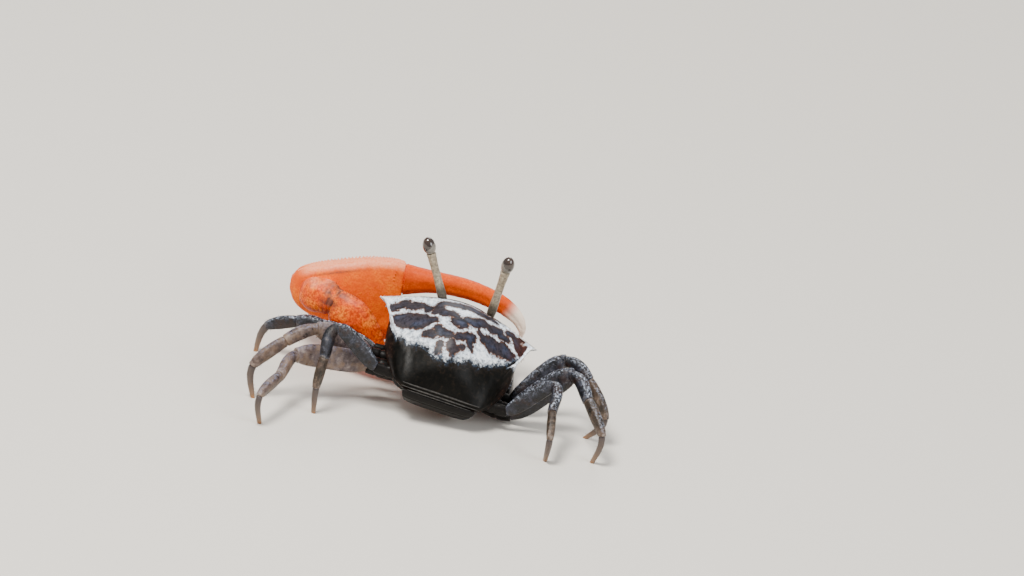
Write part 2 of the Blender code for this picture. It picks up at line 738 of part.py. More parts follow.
def build_mouth_plate(side, shell, thorax):
    """Plate that closes one half of the mouth, bulging forward under the front lobe."""
    sign = 1 if side == "left" else -1
    bm = bmesh.new()
    bmesh.ops.create_uvsphere(bm, u_segments=14, v_segments=9, radius=1.0)
    for vert in bm.verts:
        for axis, power in MOUTH_PLATE_POWERS:
            value = vert.co[axis]
            vert.co[axis] = math.copysign(abs(value) ** power, value)
    centre = Vector((sign * MOUTH_PLATE_CENTRE.x, MOUTH_PLATE_CENTRE.y, MOUTH_PLATE_CENTRE.z))
    lean = Matrix.Rotation(MOUTH_PLATE_LEAN, 4, "X")
    size = Matrix.Diagonal((*MOUTH_PLATE_HALF, 1.0))
    bmesh.ops.transform(bm, matrix=BODY @ Matrix.Translation(centre) @ lean @ size, verts=bm.verts)
    plate = make_object(f"maxilliped_{side}", bm)
    boolean(plate, [grown(shell, GAP), grown(thorax, GAP)], "DIFFERENCE")
    return finish(plate, "underside")


# Eyes and feelers


def stalk_foot(side):
    """Foot of an eyestalk, in its orbit, in the world."""
    return BODY @ STALK_FOOT[side]


def stalk(side, grow=0.0):
    """Eyestalk from its orbit to the seat of the eye, slightly waisted."""
    foot = stalk_foot(side)
    reach = STALK_REACH[side]
    along = reach.normalized()
    across = Vector((1.0, 0.0, 0.0))
    keys = [(radius, radius, radius) for radius in STALK_RADII]
    ends = (foot - along * (STALK_SUNK + grow), foot + reach)
    frames = (across, across)
    return limb(f"eyestalk_{side}", ends, (along, along), frames, keys, (1.0, 1.0), 11, 10, grow)


def build_eye(side):
    """Stalk, and the eye as its swollen end."""
    reach = STALK_REACH[side]
    along = reach.normalized()
    stem = finish(stalk(side), "stalk")
    bm = bmesh.new()
    bmesh.ops.create_uvsphere(bm, u_segments=14, v_segments=10, radius=1.0)
    # flat seat of the eye on its stalk
    everything = bm.verts[:] + bm.edges[:] + bm.faces[:]
    cut = bmesh.ops.bisect_plane(bm, geom=everything, dist=CUT_TOLERANCE, plane_co=(0, 0, EYE_SEAT),
                                 plane_no=(0, 0, 1), clear_inner=True)
    rim = [edge for edge in cut["geom_cut"] if isinstance(edge, bmesh.types.BMEdge)]
    bmesh.ops.edgeloop_fill(bm, edges=rim)
    bmesh.ops.recalc_face_normals(bm, faces=bm.faces)
    half = EYE_LENGTH / 2
    centre = stalk_foot(side) + reach + along * (GAP - EYE_SEAT * half)
    turn = UP.rotation_difference(along).to_matrix().to_4x4()
    size = Matrix.Diagonal((EYE_RADIUS, EYE_RADIUS, half, 1.0))
    bmesh.ops.transform(bm, matrix=Matrix.Translation(centre) @ turn @ size, verts=bm.verts)
    eye = finish(make_object(f"eye_{side}", bm), "eye")
    return [stem, eye]


def build_feeler(side, shell):
    """Short antenna beside the front lobe."""
    sign = 1 if side == "left" else -1
    spots = []
    for x, y, z in FEELER_PATH:
        spots.append(BODY @ (Vector((sign * x, y, z)) * MM))
    rings = []
    for i, (spot, radius) in enumerate(zip(spots, FEELER_RADII)):
        along = (spots[min(i + 1, len(spots) - 1)] - spots[max(i - 1, 0)]).normalized()
        across = along.cross(UP).normalized()
        upward = across.cross(along)
        rings.append(section(spot, across, upward, radius * MM, radius * MM, radius * MM, 8, 2.0))
    feeler = make_object(f"antenna_{side}", loft(rings))
    boolean(feeler, [grown(shell, GAP)], "DIFFERENCE")
    return finish(feeler, "stalk")


# Claws


def claw_place(along, height, inward=0.0):
    """World place in the big claw's plane: distance from the heel, height, distance inwards."""
    return Vector((CLAW_HEEL - along * MM, CLAW_PLANE + inward * MM, height * MM))


def palm_section(along, top, bottom, inner, outer, sides=18):
    """Section of the palm: nearly flat on the inner face, round on the outer face."""
    middle = (top + bottom) / 2
    half = (top - bottom) / 2
    points = []
    for i in range(sides):
        angle = 2 * math.pi * (i + 0.5) / sides
        c = math.cos(angle)
        s = math.sin(angle)
        power = 3.4 if c > 0 else 2.2
        depth = inner if c > 0 else outer
        inward = math.copysign(abs(c) ** (2 / power), c) * depth
        height = math.copysign(abs(s) ** (2 / 2.4), s) * half
        points.append(claw_place(along, middle + height, inward))
    return points


def finger(name, keys, rings, sides=12):
    """Curved finger of the big claw, with its sections square to its own line."""
    spots = [smooth_key(keys, i / (rings - 1)) for i in range(rings)]
    loops = []
    for i, (along, height, half, thick) in enumerate(spots):
        before = claw_place(*spots[max(i - 1, 0)][:2])
        after = claw_place(*spots[min(i + 1, rings - 1)][:2])
        line = (after - before).normalized() if i else Vector((-1.0, 0.0, 0.0))
        inward = Vector((0.0, 1.0, 0.0))
        upward = inward.cross(line).normalized()
        centre = claw_place(along, height)
        loops.append(section(centre, inward, -upward, thick * MM, half * MM, half * MM, sides, 2.2))
    return make_object(name, loft(loops))


def finger_teeth(keys, edge):
    """Blunt teeth along the biting edge of a finger, two of them larger."""
    teeth = []
    first, last = TOOTH_ROW
    for i in range(TEETH):
        t = first + (last - first) * i / (TEETH - 1)
        along, height, half, _ = smooth_key(keys, t)
        ahead = smooth_key(keys, t + 0.02)
        line = (claw_place(*ahead[:2]) - claw_place(along, height)).normalized()
        outward = Vector((line.z, 0.0, -line.x)) * edge
        size = 1.5 if i in LARGE_TEETH else 1.0 - 0.03 * i
        bm = bmesh.new()
        bmesh.ops.create_cone(bm, cap_ends=True, segments=6, radius1=TOOTH_RADIUS * size,
                              radius2=0.25 * TOOTH_RADIUS * size, depth=1.6 * TOOTH_HEIGHT * size)
        turn = UP.rotation_difference(outward).to_matrix().to_4x4()
        place = claw_place(along, height) + outward * half * MM
        bmesh.ops.transform(bm, matrix=Matrix.Translation(place) @ turn, verts=bm.verts)
        teeth.append(make_object("tooth", bm))
    return teeth


def cut_plane(item, point, normal):
    """Remove what lies behind a plane and close the cut."""
    bm = bmesh.new()
    bm.from_mesh(item.data)
    everything = bm.verts[:] + bm.edges[:] + bm.faces[:]
    cut = bmesh.ops.bisect_plane(bm, geom=everything, dist=CUT_TOLERANCE, plane_co=point,
                                 plane_no=normal, clear_inner=True)
    rim = [edge for edge in cut["geom_cut"] if isinstance(edge, bmesh.types.BMEdge)]
    bmesh.ops.edgeloop_fill(bm, edges=rim)
    bmesh.ops.recalc_face_normals(bm, faces=bm.faces)
    bmesh.ops.triangulate(bm, faces=[face for face in bm.faces if len(face.verts) > 4])
    bm.to_mesh(item.data)
    bm.free()


def build_big_claw():
    """Arm, wrist, palm with its fixed finger, and moving finger."""
    way = claw_shoulder("left")
    upper = BIG_ELBOW - BIG_ARM_ROOT
    elbow_way = halfway(upper, BIG_WRIST - BIG_ELBOW)
    across = (joint_side(upper), joint_side(elbow_way))
    tall, thick = BIG_MERUS_HALF
    keys = (
        (0.6 * thick, 0.36 * tall, 0.36 * tall),
        (0.85 * thick, 0.72 * tall, 0.62 * tall),
        (thick, 0.98 * tall, 0.78 * tall),
        (1.05 * thick, 0.96 * tall, 0.78 * tall),
        (0.85 * thick, 0.6 * tall, 0.56 * tall),
    )
    ends = (BIG_ARM_ROOT + way * GAP / 2, BIG_ELBOW - elbow_way * GAP / 2)
    merus = limb("big_claw_merus", ends, (way, elbow_way), across, keys, (0.5, 0.4), 9, 14)

    tall, thick = BIG_CARPUS_HALF
    ends = (BIG_ELBOW + elbow_way * GAP / 2, BIG_WRIST - BIG_WRIST_FACING * GAP / 2)
    keys = (
        (0.72 * thick, 0.75 * tall, 0.72 * tall),
        (1.0 * thick, 1.0 * tall, 0.95 * tall),
        (1.05 * thick, 1.02 * tall, 1.0 * tall),
        (0.75 * thick, 0.8 * tall, 0.78 * tall),
    )
    across = (joint_side(elbow_way), joint_side(BIG_WRIST_FACING))
    tangents = (elbow_way, BIG_WRIST_FACING)
    carpus = limb("big_claw_carpus", ends, tangents, across, keys, (0.9, 0.8), 9, 14)

    palm_rows = [smooth_key(PALM_SECTIONS, i / (PALM_ROWS - 1)) for i in range(PALM_ROWS)]
    palm = make_object("big_claw_palm", loft([palm_section(*row) for row in palm_rows]))
    palm_face = BIG_WRIST + BIG_WRIST_FACING * GAP / 2
    cut_plane(palm, palm_face, BIG_WRIST_FACING)
    boolean(carpus, [grown(palm, GAP)], "DIFFERENCE")
    joined = [finger("fixed_finger", FIXED_FINGER, 14)]
    joined += finger_teeth(FIXED_FINGER, 1)
    joined += palm_tubercles()
    boolean(palm, joined, "UNION")

    dactyl = finger("big_claw_dactyl", MOVING_FINGER, 17)
    boolean(dactyl, finger_teeth(MOVING_FINGER, -1), "UNION")
    return [finish(item, "claw") for item in (merus, carpus, palm, dactyl)]


def palm_tubercles():
    """Row of low tubercles along the upper edge of the palm."""
    lumps = []
    first, last = TUBERCLE_ROW
    for i in range(PALM_TUBERCLES):
        t = first + (last - first) * i / (PALM_TUBERCLES - 1)
        along, top, _, inner, _ = smooth_key(PALM_SECTIONS, t)
        lumps.append(granule(claw_place(along, top - TUBERCLE_SUNK, 0.35 * inner), TUBERCLE_RADIUS))
    return lumps


def build_small_claw():
    """Small feeding claw with two slender fingers."""
    runs = [b - a for a, b in zip(SMALL_ARM, SMALL_ARM[1:])]
    ways = [claw_shoulder("right")] + [halfway(a, b) for a, b in zip(runs, runs[1:])]
    ways.append(runs[-1].normalized())
    sides = [joint_side(run) for run in runs]
    tall, thick = SMALL_PALM_HALF
    arm_keys = ((0.5, 0.6, 0.6), (0.62, 0.8, 0.8), (0.55, 0.68, 0.68))
    wrist_keys = ((0.5, 0.6, 0.6), (0.6, 0.75, 0.75), (0.5, 0.6, 0.6))
    palm_keys = (
        (0.8 * thick, 0.62 * tall, 0.62 * tall),
        (thick, 0.95 * tall, 0.95 * tall),
        (0.85 * thick, tall, tall),
    )
    plans = (("merus", arm_keys), ("carpus", wrist_keys), ("palm", palm_keys))
    pieces = []
    for i, (piece, keys) in enumerate(plans):
        ends = (SMALL_ARM[i] + ways[i] * GAP / 2, SMALL_ARM[i + 1] - ways[i + 1] * GAP / 2)
        frames = (sides[i], sides[i + 1])
        tangents = (ways[i], ways[i + 1])
        pieces.append(limb(f"small_claw_{piece}", ends, tangents, frames, keys, (0.5, 0.5), 7, 10))
    tall, thick = SMALL_FINGER_HALF
    finger_keys = (
        (thick, tall, tall),
        (0.9 * thick, 0.95 * tall, 0.95 * tall),
        (0.5 * thick, 0.45 * tall, 0.45 * tall),
    )
    base = SMALL_ARM[3]
    line = ways[3]
    upward = line.cross(sides[3]).normalized()
    apart, close = SMALL_FINGER_SPREAD
    frames = (sides[3], sides[3])
    lines = (line, line)
    ends = (base - upward * apart - line * SMALL_FINGER_SUNK, SMALL_ARM[4] - upward * close)
    fixed = limb("fixed", ends, lines, frames, finger_keys, (1.0, 1.0), 6, 8)
    boolean(pieces[2], [fixed], "UNION")
    ends = (base + upward * apart + line * GAP / 2, SMALL_ARM[4] + upward * close)
    pieces.append(limb("small_claw_dactyl", ends, lines, frames, finger_keys, (1.0, 1.0), 6, 8))
    return [finish(item, "small_claw") for item in pieces]


def settle(items):
    """Put the whole crab in one collection under an empty, with its box centred on the origin."""
    crab = bpy.data.collections.new("fiddler_crab")
    bpy.context.scene.collection.children.link(crab)
    root = bpy.data.objects.new("crab_root", None)
    crab.objects.link(root)
    corners = []
    for item in items:
        bpy.context.scene.collection.objects.unlink(item)
        crab.objects.link(item)
        item.parent = root
        corners += [vert.co for vert in item.data.vertices]
    lows = [min(corner[axis] for corner in corners) for axis in range(3)]
    highs = [max(corner[axis] for corner in corners) for axis in range(3)]
    root.location = (-(lows[0] + highs[0]) / 2, -(lows[1] + highs[1]) / 2, -lows[2])


def main():
    clear_scene()
    smooth_shell = carapace_body()
    smooth_shell.name = "shell_guide"
    thorax = build_thorax(smooth_shell)
    items = [build_carapace(), thorax, build_tail()]
    for side in ("left", "right"):
        items.append(build_mouth_plate(side, smooth_shell, thorax))
        items += build_eye(side)
        items.append(build_feeler(side, smooth_shell))
    items += build_big_claw()
    items += build_small_claw()
    for side in ("left", "right"):
        for number in range(len(HIPS)):
            items += build_leg(side, number)
    bpy.data.objects.remove(smooth_shell)
    settle(items)


main()
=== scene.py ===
# Looks of a male fiddler crab, life size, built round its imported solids.
# Sizes are in millimetres, and MM turns them into metres. The crab faces -Y, and +X is its left.
# Shapes are worked out in the crab's own frame, and SHIFT moves them to the frame's origin.

import math
import random
from collections import namedtuple

import bmesh
import bpy
from mathutils import Matrix, Vector, noise


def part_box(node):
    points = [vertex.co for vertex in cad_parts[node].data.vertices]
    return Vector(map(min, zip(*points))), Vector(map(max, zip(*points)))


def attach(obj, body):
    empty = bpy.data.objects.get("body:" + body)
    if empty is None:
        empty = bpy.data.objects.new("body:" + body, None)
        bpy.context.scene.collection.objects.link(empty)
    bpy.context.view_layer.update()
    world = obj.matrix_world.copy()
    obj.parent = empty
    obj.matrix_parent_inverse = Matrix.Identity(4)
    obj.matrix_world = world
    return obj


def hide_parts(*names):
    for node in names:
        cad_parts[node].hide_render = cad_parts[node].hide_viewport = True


MM = 0.001
UP = Vector((0.0, 0.0, 1.0))
LEFTWARD = Vector((1.0, 0.0, 0.0))
INWARD = Vector((0.0, 1.0, 0.0))  # towards the body, from the plane of the big claw
SIDES = {"left": 1, "right": -1}  # each with the sign of its X
SEAM = 0.08  # open joint between two shell pieces, part filled by the joint skin
rng = random.Random(23)

# Driving sizes, the same as those of the solids

BODY_HEIGHT = 9.4
NOSE_UP = math.radians(12.0)
RIGHT_SIDE_DOWN = math.radians(11.0)

# Place along the body, half width and height of the ridge, height of the back on the
# middle line, half width of the flank, height of the underside.
CARAPACE_SECTIONS = (
    (-6.1, 10.2, -0.45, 1.60, 7.5, -4.9),
    (-5.5, 9.55, -0.50, 1.98, 7.8, -4.9),
    (-4.4, 9.15, -0.52, 2.35, 8.0, -4.9),
    (-3.0, 8.75, -0.58, 2.60, 8.15, -4.9),
    (-1.0, 8.00, -0.80, 2.60, 8.15, -4.9),
    (1.0, 7.00, -1.15, 2.15, 8.0, -4.85),
    (3.0, 6.20, -1.85, 1.10, 7.5, -4.8),
    (4.8, 5.75, -2.75, -0.60, 6.7, -4.8),
    (5.7, 5.50, -3.30, -2.00, 6.1, -4.8),
    (6.3, 5.20, -3.70, -3.40, 5.2, -4.75),
)
FRONT = CARAPACE_SECTIONS[0]
REAR = CARAPACE_SECTIONS[-1]
SWEEP_BACK = 1.45
REAR_SWEEP = 0.45
FACE_SLOPE = 0.27
ARCH_POWER = 1.6
RIM = 0.28
ORBIT_RADIUS = 0.74
ORBIT_DROP = 0.98
ORBIT_INNER = 2.3
ORBIT_OUTER = 9.2
LOBE_HEIGHT = 1.25
LOBE_RECESS = 0.5

CARAPACE_SKIN = (248, 210)  # columns and rows
RIDGE_Q = 0.5  # place of the ridge on a section's outline
FACE_END = 0.30  # shares of the rows at which the face ends and the rear closes
REAR_START = 0.90
FACE_MIDDLE = -1.4  # heights towards which the face and the rear close
REAR_MIDDLE = -4.2

STALK_FOOT = {"left": Vector((2.5, -6.05, 0.75)), "right": Vector((-3.42, -6.05, 0.65))}
STALK_REACH = {"left": Vector((2.5, -0.1, 6.0)), "right": Vector((-0.92, 1.0, 6.86))}
STALK_RADII = (0.36, 0.58, 0.55, 0.51, 0.49, 0.52, 0.62)
STALK_SUNK = 0.5
EYE_RADIUS = 0.82
EYE_HALF = 1.15
EYE_SEAT = -0.72

# Place along the body, half width, height of the underside.
THORAX_SECTIONS = (
    (-3.9, 2.6, -6.1),
    (-3.0, 4.6, -6.5),
    (-1.4, 6.1, -6.8),
    (1.0, 6.4, -6.85),
    (3.2, 5.9, -6.7),
    (4.9, 4.9, -6.0),
)
THORAX_TOP = -4.4
# Place along the body, height, half width.
TAIL_PATH = (
    (6.25, -4.4, 4.7),
    (6.2, -5.1, 4.5),
    (5.85, -5.8, 4.25),
    (5.3, -6.5, 3.9),
    (4.3, -7.1, 3.4),
    (2.9, -7.45, 3.1),
    (1.3, -7.55, 2.7),
    (-0.4, -7.5, 2.2),
    (-1.9, -7.4, 1.6),
    (-2.9, -7.3, 0.7),
)
FEELER_PATH = (
    (4.3, -5.4, -0.7),
    (4.5, -6.1, -0.75),
    (4.9, -6.7, -0.9),
    (5.5, -7.2, -1.2),
    (6.2, -7.5, -1.7),
)
INNER_FEELER_PATH = (
    (1.7, -5.7, -0.1),
    (1.9, -6.15, -0.2),
    (2.2, -6.3, -0.1),
    (2.5, -6.35, 0.05),
)
MOUTH_MIDDLE = Vector((2.05, -5.3, -3.0))
# In the mouth's own frame.
PALP_PATH = (
    (-1.0, -0.62, 1.6),
    (-1.5, -0.8, 1.2),
    (-1.62, -0.85, 0.4),
    (-1.5, -0.85, -0.5),
)

HIPS = (
    Vector((8.6, -2.6, -6.75)),
    Vector((9.2, -0.4, -6.2)),
    Vector((9.2, 1.8, -6.0)),
    Vector((8.4, 3.9, -4.4)),
)
LEG_ROOT = Vector((-3.6, 0.0, 0.15))
LEG_PIECES = ("merus", "carpus", "propodus", "dactyl")
LEG_LENGTHS = (
    (7.2, 3.3, 4.0, 3.8),
    (8.6, 4.1, 4.9, 4.4),
    (9.6, 4.1, 4.9, 4.2),
    (7.0, 3.9, 3.8, 3.6),
)
MERUS_HALF_HEIGHTS = (1.05, 1.4, 1.5, 0.95)
# In degrees: way out and rise of the merus, way of the rest, fall of the carpus and of the dactyl.
LEG_ANGLES = {
    "left": (
        (-21, 6, -12, 8, 76),
        (30, 27, 24, 22, 98),
        (25, 8, 68, 20, 106),
        (8, 40, 66, 54, 96),
    ),
    "right": (
        (-92, 3, -112, -8, 88),
        (-9, 47, 40, 12, 122),
        (8, 44, 55, 20, 104),
        (6, 41, 86, 30, 110),
    ),
}
LEG_BENDS = ((0.35, 0.45), (1.0, 0.8), (0.5, 0.5), (1.0, 0.7))
LEG_SQUARENESS = 2.3
FOOT_RADIUS = 0.26
FOOT_OVERRUN = 0.35

CLAW_PLANE = -11.5
CLAW_HEEL = 21.3
# Distance from the heel, upper edge, lower edge, thickness inwards and outwards.
PALM_SECTIONS = (
    (0.0, 9.1, 7.5, 0.5, 0.5),
    (0.8, 10.3, 6.0, 1.2, 1.4),
    (2.5, 11.2, 4.8, 1.5, 2.2),
    (5.5, 12.2, 3.8, 1.65, 2.6),
    (9.0, 13.2, 3.1, 1.6, 2.6),
    (12.0, 13.65, 2.95, 1.45, 2.1),
    (13.6, 13.55, 3.2, 1.25, 1.55),
)
# Distance from the heel, height, half height, half thickness.
FIXED_FINGER = (
    (11.6, 5.9, 2.9, 1.5),
    (14.5, 5.15, 2.3, 1.5),
    (17.0, 4.35, 1.75, 1.3),
    (20.0, 4.0, 1.5, 1.0),
    (23.0, 4.15, 1.35, 0.85),
    (25.5, 4.65, 1.1, 0.7),
    (27.2, 5.35, 0.7, 0.5),
    (28.0, 5.9, 0.28, 0.25),
)
MOVING_FINGER = (
    (13.9, 11.45, 2.1, 1.35),
    (16.0, 11.7, 1.72, 1.25),
    (18.2, 11.8, 1.5, 1.15),
    (20.4, 11.75, 1.47, 1.05),
    (22.4, 11.5, 1.43, 0.95),
    (24.3, 11.0, 1.36, 0.9),
    (26.1, 10.3, 1.24, 0.8),
    (27.5, 9.4, 1.05, 0.7),
    (28.5, 8.4, 0.78, 0.55),
    (29.0, 7.3, 0.5, 0.4),
    (29.05, 6.35, 0.2, 0.18),
)
DACTYL_ROOT_GROWTH = (-0.14, 0.0, 0.06, 0.05)
BIG_TEETH = (0.344, 0.616)  # places of the two larger teeth along a biting edge
BIG_ARM_ROOT = Vector((8.6, -5.8, 2.4)) * MM
BIG_ELBOW = Vector((15.2, -7.7, 8.4)) * MM
BIG_WRIST = Vector((18.5, -10.65, 8.0)) * MM
BIG_WRIST_FACING = Vector((-0.2, -0.98, 0.0)).normalized()
BIG_MERUS_HALF = (3.15, 1.5)
BIG_CARPUS_HALF = (2.15, 1.9)
# Shares of the half thickness and of the half height, upper and lower, from joint to joint.
BIG_MERUS_SECTIONS = (
    (0.6, 0.36, 0.36),
    (0.85, 0.72, 0.62),
    (1.0, 0.98, 0.78),
    (1.05, 0.96, 0.78),
    (0.85, 0.6, 0.56),
)
BIG_CARPUS_SECTIONS = (
    (0.72, 0.75, 0.72),
    (1.0, 1.0, 0.95),
    (1.05, 1.02, 1.0),
    (0.75, 0.8, 0.78),
)
HINGE_PLACE = (13.7, 11.4)  # distance from the heel and height of the moving finger's hinge
# Rows of tubercles on the palm: depth below its edge, share of its thickness, number, radius.
TUBERCLE_ROWS = ((0.04, 0.3, 44, 0.12), (0.1, -0.3, 42, 0.11), (0.3, -0.6, 40, 0.09))
CLAW_ROOTS = {"left": Vector((4.6, -2.9, -6.3)), "right": Vector((-3.9, -3.0, -5.7))}
CLAW_BASES = {"left": (0.85, 0.95), "right": (0.5, 0.6)}
SMALL_ARM = (
    Vector((-5.6, -6.3, 3.9)) * MM,
    Vector((-8.0, -7.9, 5.7)) * MM,
    Vector((-7.3, -9.2, 4.5)) * MM,
    Vector((-4.8, -9.1, 4.2)) * MM,
    Vector((-1.9, -8.5, 4.6)) * MM,
)
SMALL_PALM_HALF = (1.05, 0.6)
SMALL_FINGER_HALF = (0.42, 0.36)
SMALL_FINGER_SPREAD = (0.56, 0.32)
HAIR_RADIUS = 0.022

# Dark blotches of the front half of the back, in the body frame: both ends of a blotch's middle
# line, each followed by its half width there.
BLOTCHES = (
    (8.4, -3.2, 0.42, 6.95, -4.12, 0.44),
    (6.33, -3.57, 0.44, 5.65, -3.35, 0.42),
    (6.09, -4.16, 0.19, 5.08, -3.7, 0.2),
    (4.81, -3.34, 0.27, 4.23, -2.91, 0.34),
    (7.3, -1.3, 0.74, 6.54, -1.36, 0.84),
    (6.52, -1.26, 0.84, 4.78, -0.79, 0.88),
    (4.75, -0.89, 0.8, 3.21, -0.82, 0.14),
    (3.05, -3.49, 0.38, 3.01, -2.35, 0.32),
    (3.64, -2.07, 0.17, 3.16, -2.47, 0.37),
    (2.55, -2.2, 0.44, 1.17, -2.03, 0.29),
    (2.87, -4.16, 0.3, 1.71, -4.26, 0.4),
    (1.71, -4.21, 0.4, 0.42, -4.28, 0.48),
    (0.76, -0.86, 0.6, 0.21, -0.78, 0.68),
    (1.22, -1.97, 0.22, 0.64, -1.38, 0.21),
    (-0.32, -4.65, 0.5, -1.19, -4.45, 0.5),
    (-1.19, -4.32, 0.4, -2.51, -4.5, 0.42),
    (-2.51, -4.5, 0.4, -4.1, -4.75, 0.22),
    (-0.4, -1.72, 0.36, -1.32, -1.66, 0.56),
    (-1.32, -1.62, 0.5, -2.48, -2.69, 0.58),
    (2.77, 0.29, 0.28, 2.4, 0.95, 0.36),
    (2.4, 0.95, 0.4, 1.19, 1.25, 0.28),
    (3.99, 0.91, 0.23, 3.11, 1.28, 0.29),
    (0.27, 1.28, 0.28, -1.49, 0.61, 0.4),
    (-1.23, 1.21, 0.35, -1.67, 1.95, 0.16),
    (2.11, 2.29, 0.16, 2.09, 3.19, 0.2),
    (0.84, 2.43, 0.33, 0.42, 3.06, 0.3),
    (0.13, 2.76, 0.14, -0.6, 2.43, 0.1),
    (-2.92, -0.04, 0.3, -4.26, -1.04, 0.44),
    (-3.91, -0.06, 0.52, -6.09, -1.43, 0.78),
    (-6.12, -1.32, 0.84, -7.0, -1.38, 0.45),
    (-2.22, -0.73, 0.15, -2.64, -0.43, 0.2),
    (-3.54, -2.47, 0.38, -4.32, -3.23, 0.33),
    (-4.33, -3.2, 0.31, -5.12, -3.65, 0.24),
    (-5.09, -3.01, 0.46, -6.18, -3.18, 0.25),
    (-5.99, -4.39, 0.24, -6.68, -4.65, 0.27),
    (-7.26, -4.23, 0.4, -7.47, -3.91, 0.46),
    (-7.38, -4.51, 0.25, -8.14, -4.99, 0.17),
    (-7.54, -3.84, 0.5, -8.16, -2.97, 0.5),
    (-8.39, -3.39, 0.3, -8.85, -4.03, 0.22),
)
BLOTCH_GROWTH = 0.18
# Waviness of a blotch's edge: size, height and seed of each pattern.
BLOTCH_WAVES = ((0.8, 0.14, 7.0), (0.4, 0.14, 3.0), (0.2, 0.08, 5.0))
# Edge between the marbled front half and the black rear half, from left to right.
BLACK_EDGE = (
    (9.5, -1.7), (7.6, 0.0), (7.03, 0.84), (6.67, 0.58), (6.15, 1.04), (5.72, 1.57),
    (4.82, 1.72), (3.66, 2.21), (3.16, 2.66), (2.78, 3.28), (1.92, 3.49), (1.44, 3.69),
    (0.68, 4.0), (0.31, 3.5), (-0.1, 3.66), (-0.99, 3.44), (-2.02, 2.73), (-2.48, 2.84),
    (-3.27, 2.58), (-4.19, 1.88), (-5.36, 0.93), (-6.83, -0.38), (-7.61, -1.6), (-9.5, -3.0),
)

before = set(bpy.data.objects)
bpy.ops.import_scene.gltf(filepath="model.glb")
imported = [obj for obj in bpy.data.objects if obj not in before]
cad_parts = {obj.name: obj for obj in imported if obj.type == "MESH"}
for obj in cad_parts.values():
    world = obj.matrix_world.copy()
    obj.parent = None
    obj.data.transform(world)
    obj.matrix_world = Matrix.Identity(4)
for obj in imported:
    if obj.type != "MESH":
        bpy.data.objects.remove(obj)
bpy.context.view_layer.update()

palm_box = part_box("big_claw_palm")
finger_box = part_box("big_claw_dactyl")
SHIFT = Vector((
    palm_box[1].x - CLAW_HEEL * MM,
    (finger_box[0].y + finger_box[1].y) / 2 - CLAW_PLANE * MM,
    0.0,
))
BODY = Matrix.Translation((0.0, 0.0, BODY_HEIGHT * MM)) @ Matrix.Rotation(-NOSE_UP, 4, "X")
BODY = BODY @ Matrix.Rotation(-RIGHT_SIDE_DOWN, 4, "Y")


# Numbers, places and curves


def in_body(x, y, z):
    """Place in the crab's own frame of a point given in the body frame, in millimetres."""
    return BODY @ (Vector((x, y, z)) * MM)


def smooth_key(keys, t):
    """Value at t, from 0 to 1, on the smooth curve through evenly spaced keys."""
    spot = max(0.0, min(1.0, t)) * (len(keys) - 1)
    i = min(int(spot), len(keys) - 2)
    f = spot - i
    before, start, end, after = (keys[min(max(k, 0), len(keys) - 1)] for k in range(i - 1, i + 3))
    values = []
    for a, b, c, d in zip(before, start, end, after):
        curve = 2 * b + (c - a) * f + (2 * a - 5 * b + 4 * c - d) * f**2
        curve += (3 * b - a - 3 * c + d) * f**3
        values.append(curve / 2)
    return values


def step_up(low, high, value):
    """Smooth step from 0 at low to 1 at high."""
    t = max(0.0, min(1.0, (value - low) / (high - low)))
    return t * t * (3 - 2 * t)


def hump(value, centre, width):
    """Bell shaped rise of 1 at its centre."""
    return math.exp(-(((value - centre) / width) ** 2))


def crest(angle, degrees, width):
    """Bell shaped ridge that runs along a limb at an angle round it, in degrees."""
    return hump((math.degrees(angle) - degrees + 180.0) % 360.0 - 180.0, 0.0, width)


def rounded_power(value, power):
    """Sine or cosine drawn out towards a squarer outline, which is round at a power of 2."""
    return math.copysign(abs(value) ** (2 / power), value)


# Skins: closed meshes shaped from a sphere


def skin(columns, rows, place):
    """Sphere whose points are moved to place(t, angle), t running from pole to pole."""
    bm = bmesh.new()
    bmesh.ops.create_uvsphere(bm, u_segments=columns, v_segments=rows, radius=1.0)
    along = bm.verts.layers.float.new("along")
    for vert in bm.verts:
        t = math.acos(max(-1.0, min(1.0, vert.co.z))) / math.pi
        spot, share = place(t, math.atan2(vert.co.y, vert.co.x))
        vert[along] = share
        vert.co = spot
    bmesh.ops.recalc_face_normals(bm, faces=bm.faces)
    return bm


def rounded_ends(t, cap, dome):
    """Place along a piece, share of its girth, and how far its domed ends stand out."""
    if t < cap:
        turn = t / cap * math.pi / 2
        return 0.0, math.sin(turn), -dome * math.cos(turn)
    if t > 1 - cap:
        turn = (1 - t) / cap * math.pi / 2
        return 1.0, math.sin(turn), dome * math.cos(turn)
    return (t - cap) / (1 - 2 * cap), 1.0, 0.0


Limb = namedtuple("Limb", "ends tangents across keys strength power")


def station(limb, t):
    """Centre of a limb at t, from joint to joint, and its forward, sideways and upward ways."""
    start, end = limb.ends
    length = (end - start).length
    lead = limb.tangents[0] * length * limb.strength[0]
    trail = limb.tangents[1] * length * limb.strength[1]
    spot = (2 * t**3 - 3 * t**2 + 1) * start + (t**3 - 2 * t**2 + t) * lead
    spot += (3 * t**2 - 2 * t**3) * end + (t**3 - t**2) * trail
    slope = (6 * t**2 - 6 * t) * (start - end)
    slope += (3 * t**2 - 4 * t + 1) * lead + (3 * t**2 - 2 * t) * trail
    slope.normalize()
    side = limb.across[0].lerp(limb.across[1], t)
    upward = slope.cross(side).normalized()
    return spot, slope, upward.cross(slope).normalized(), upward


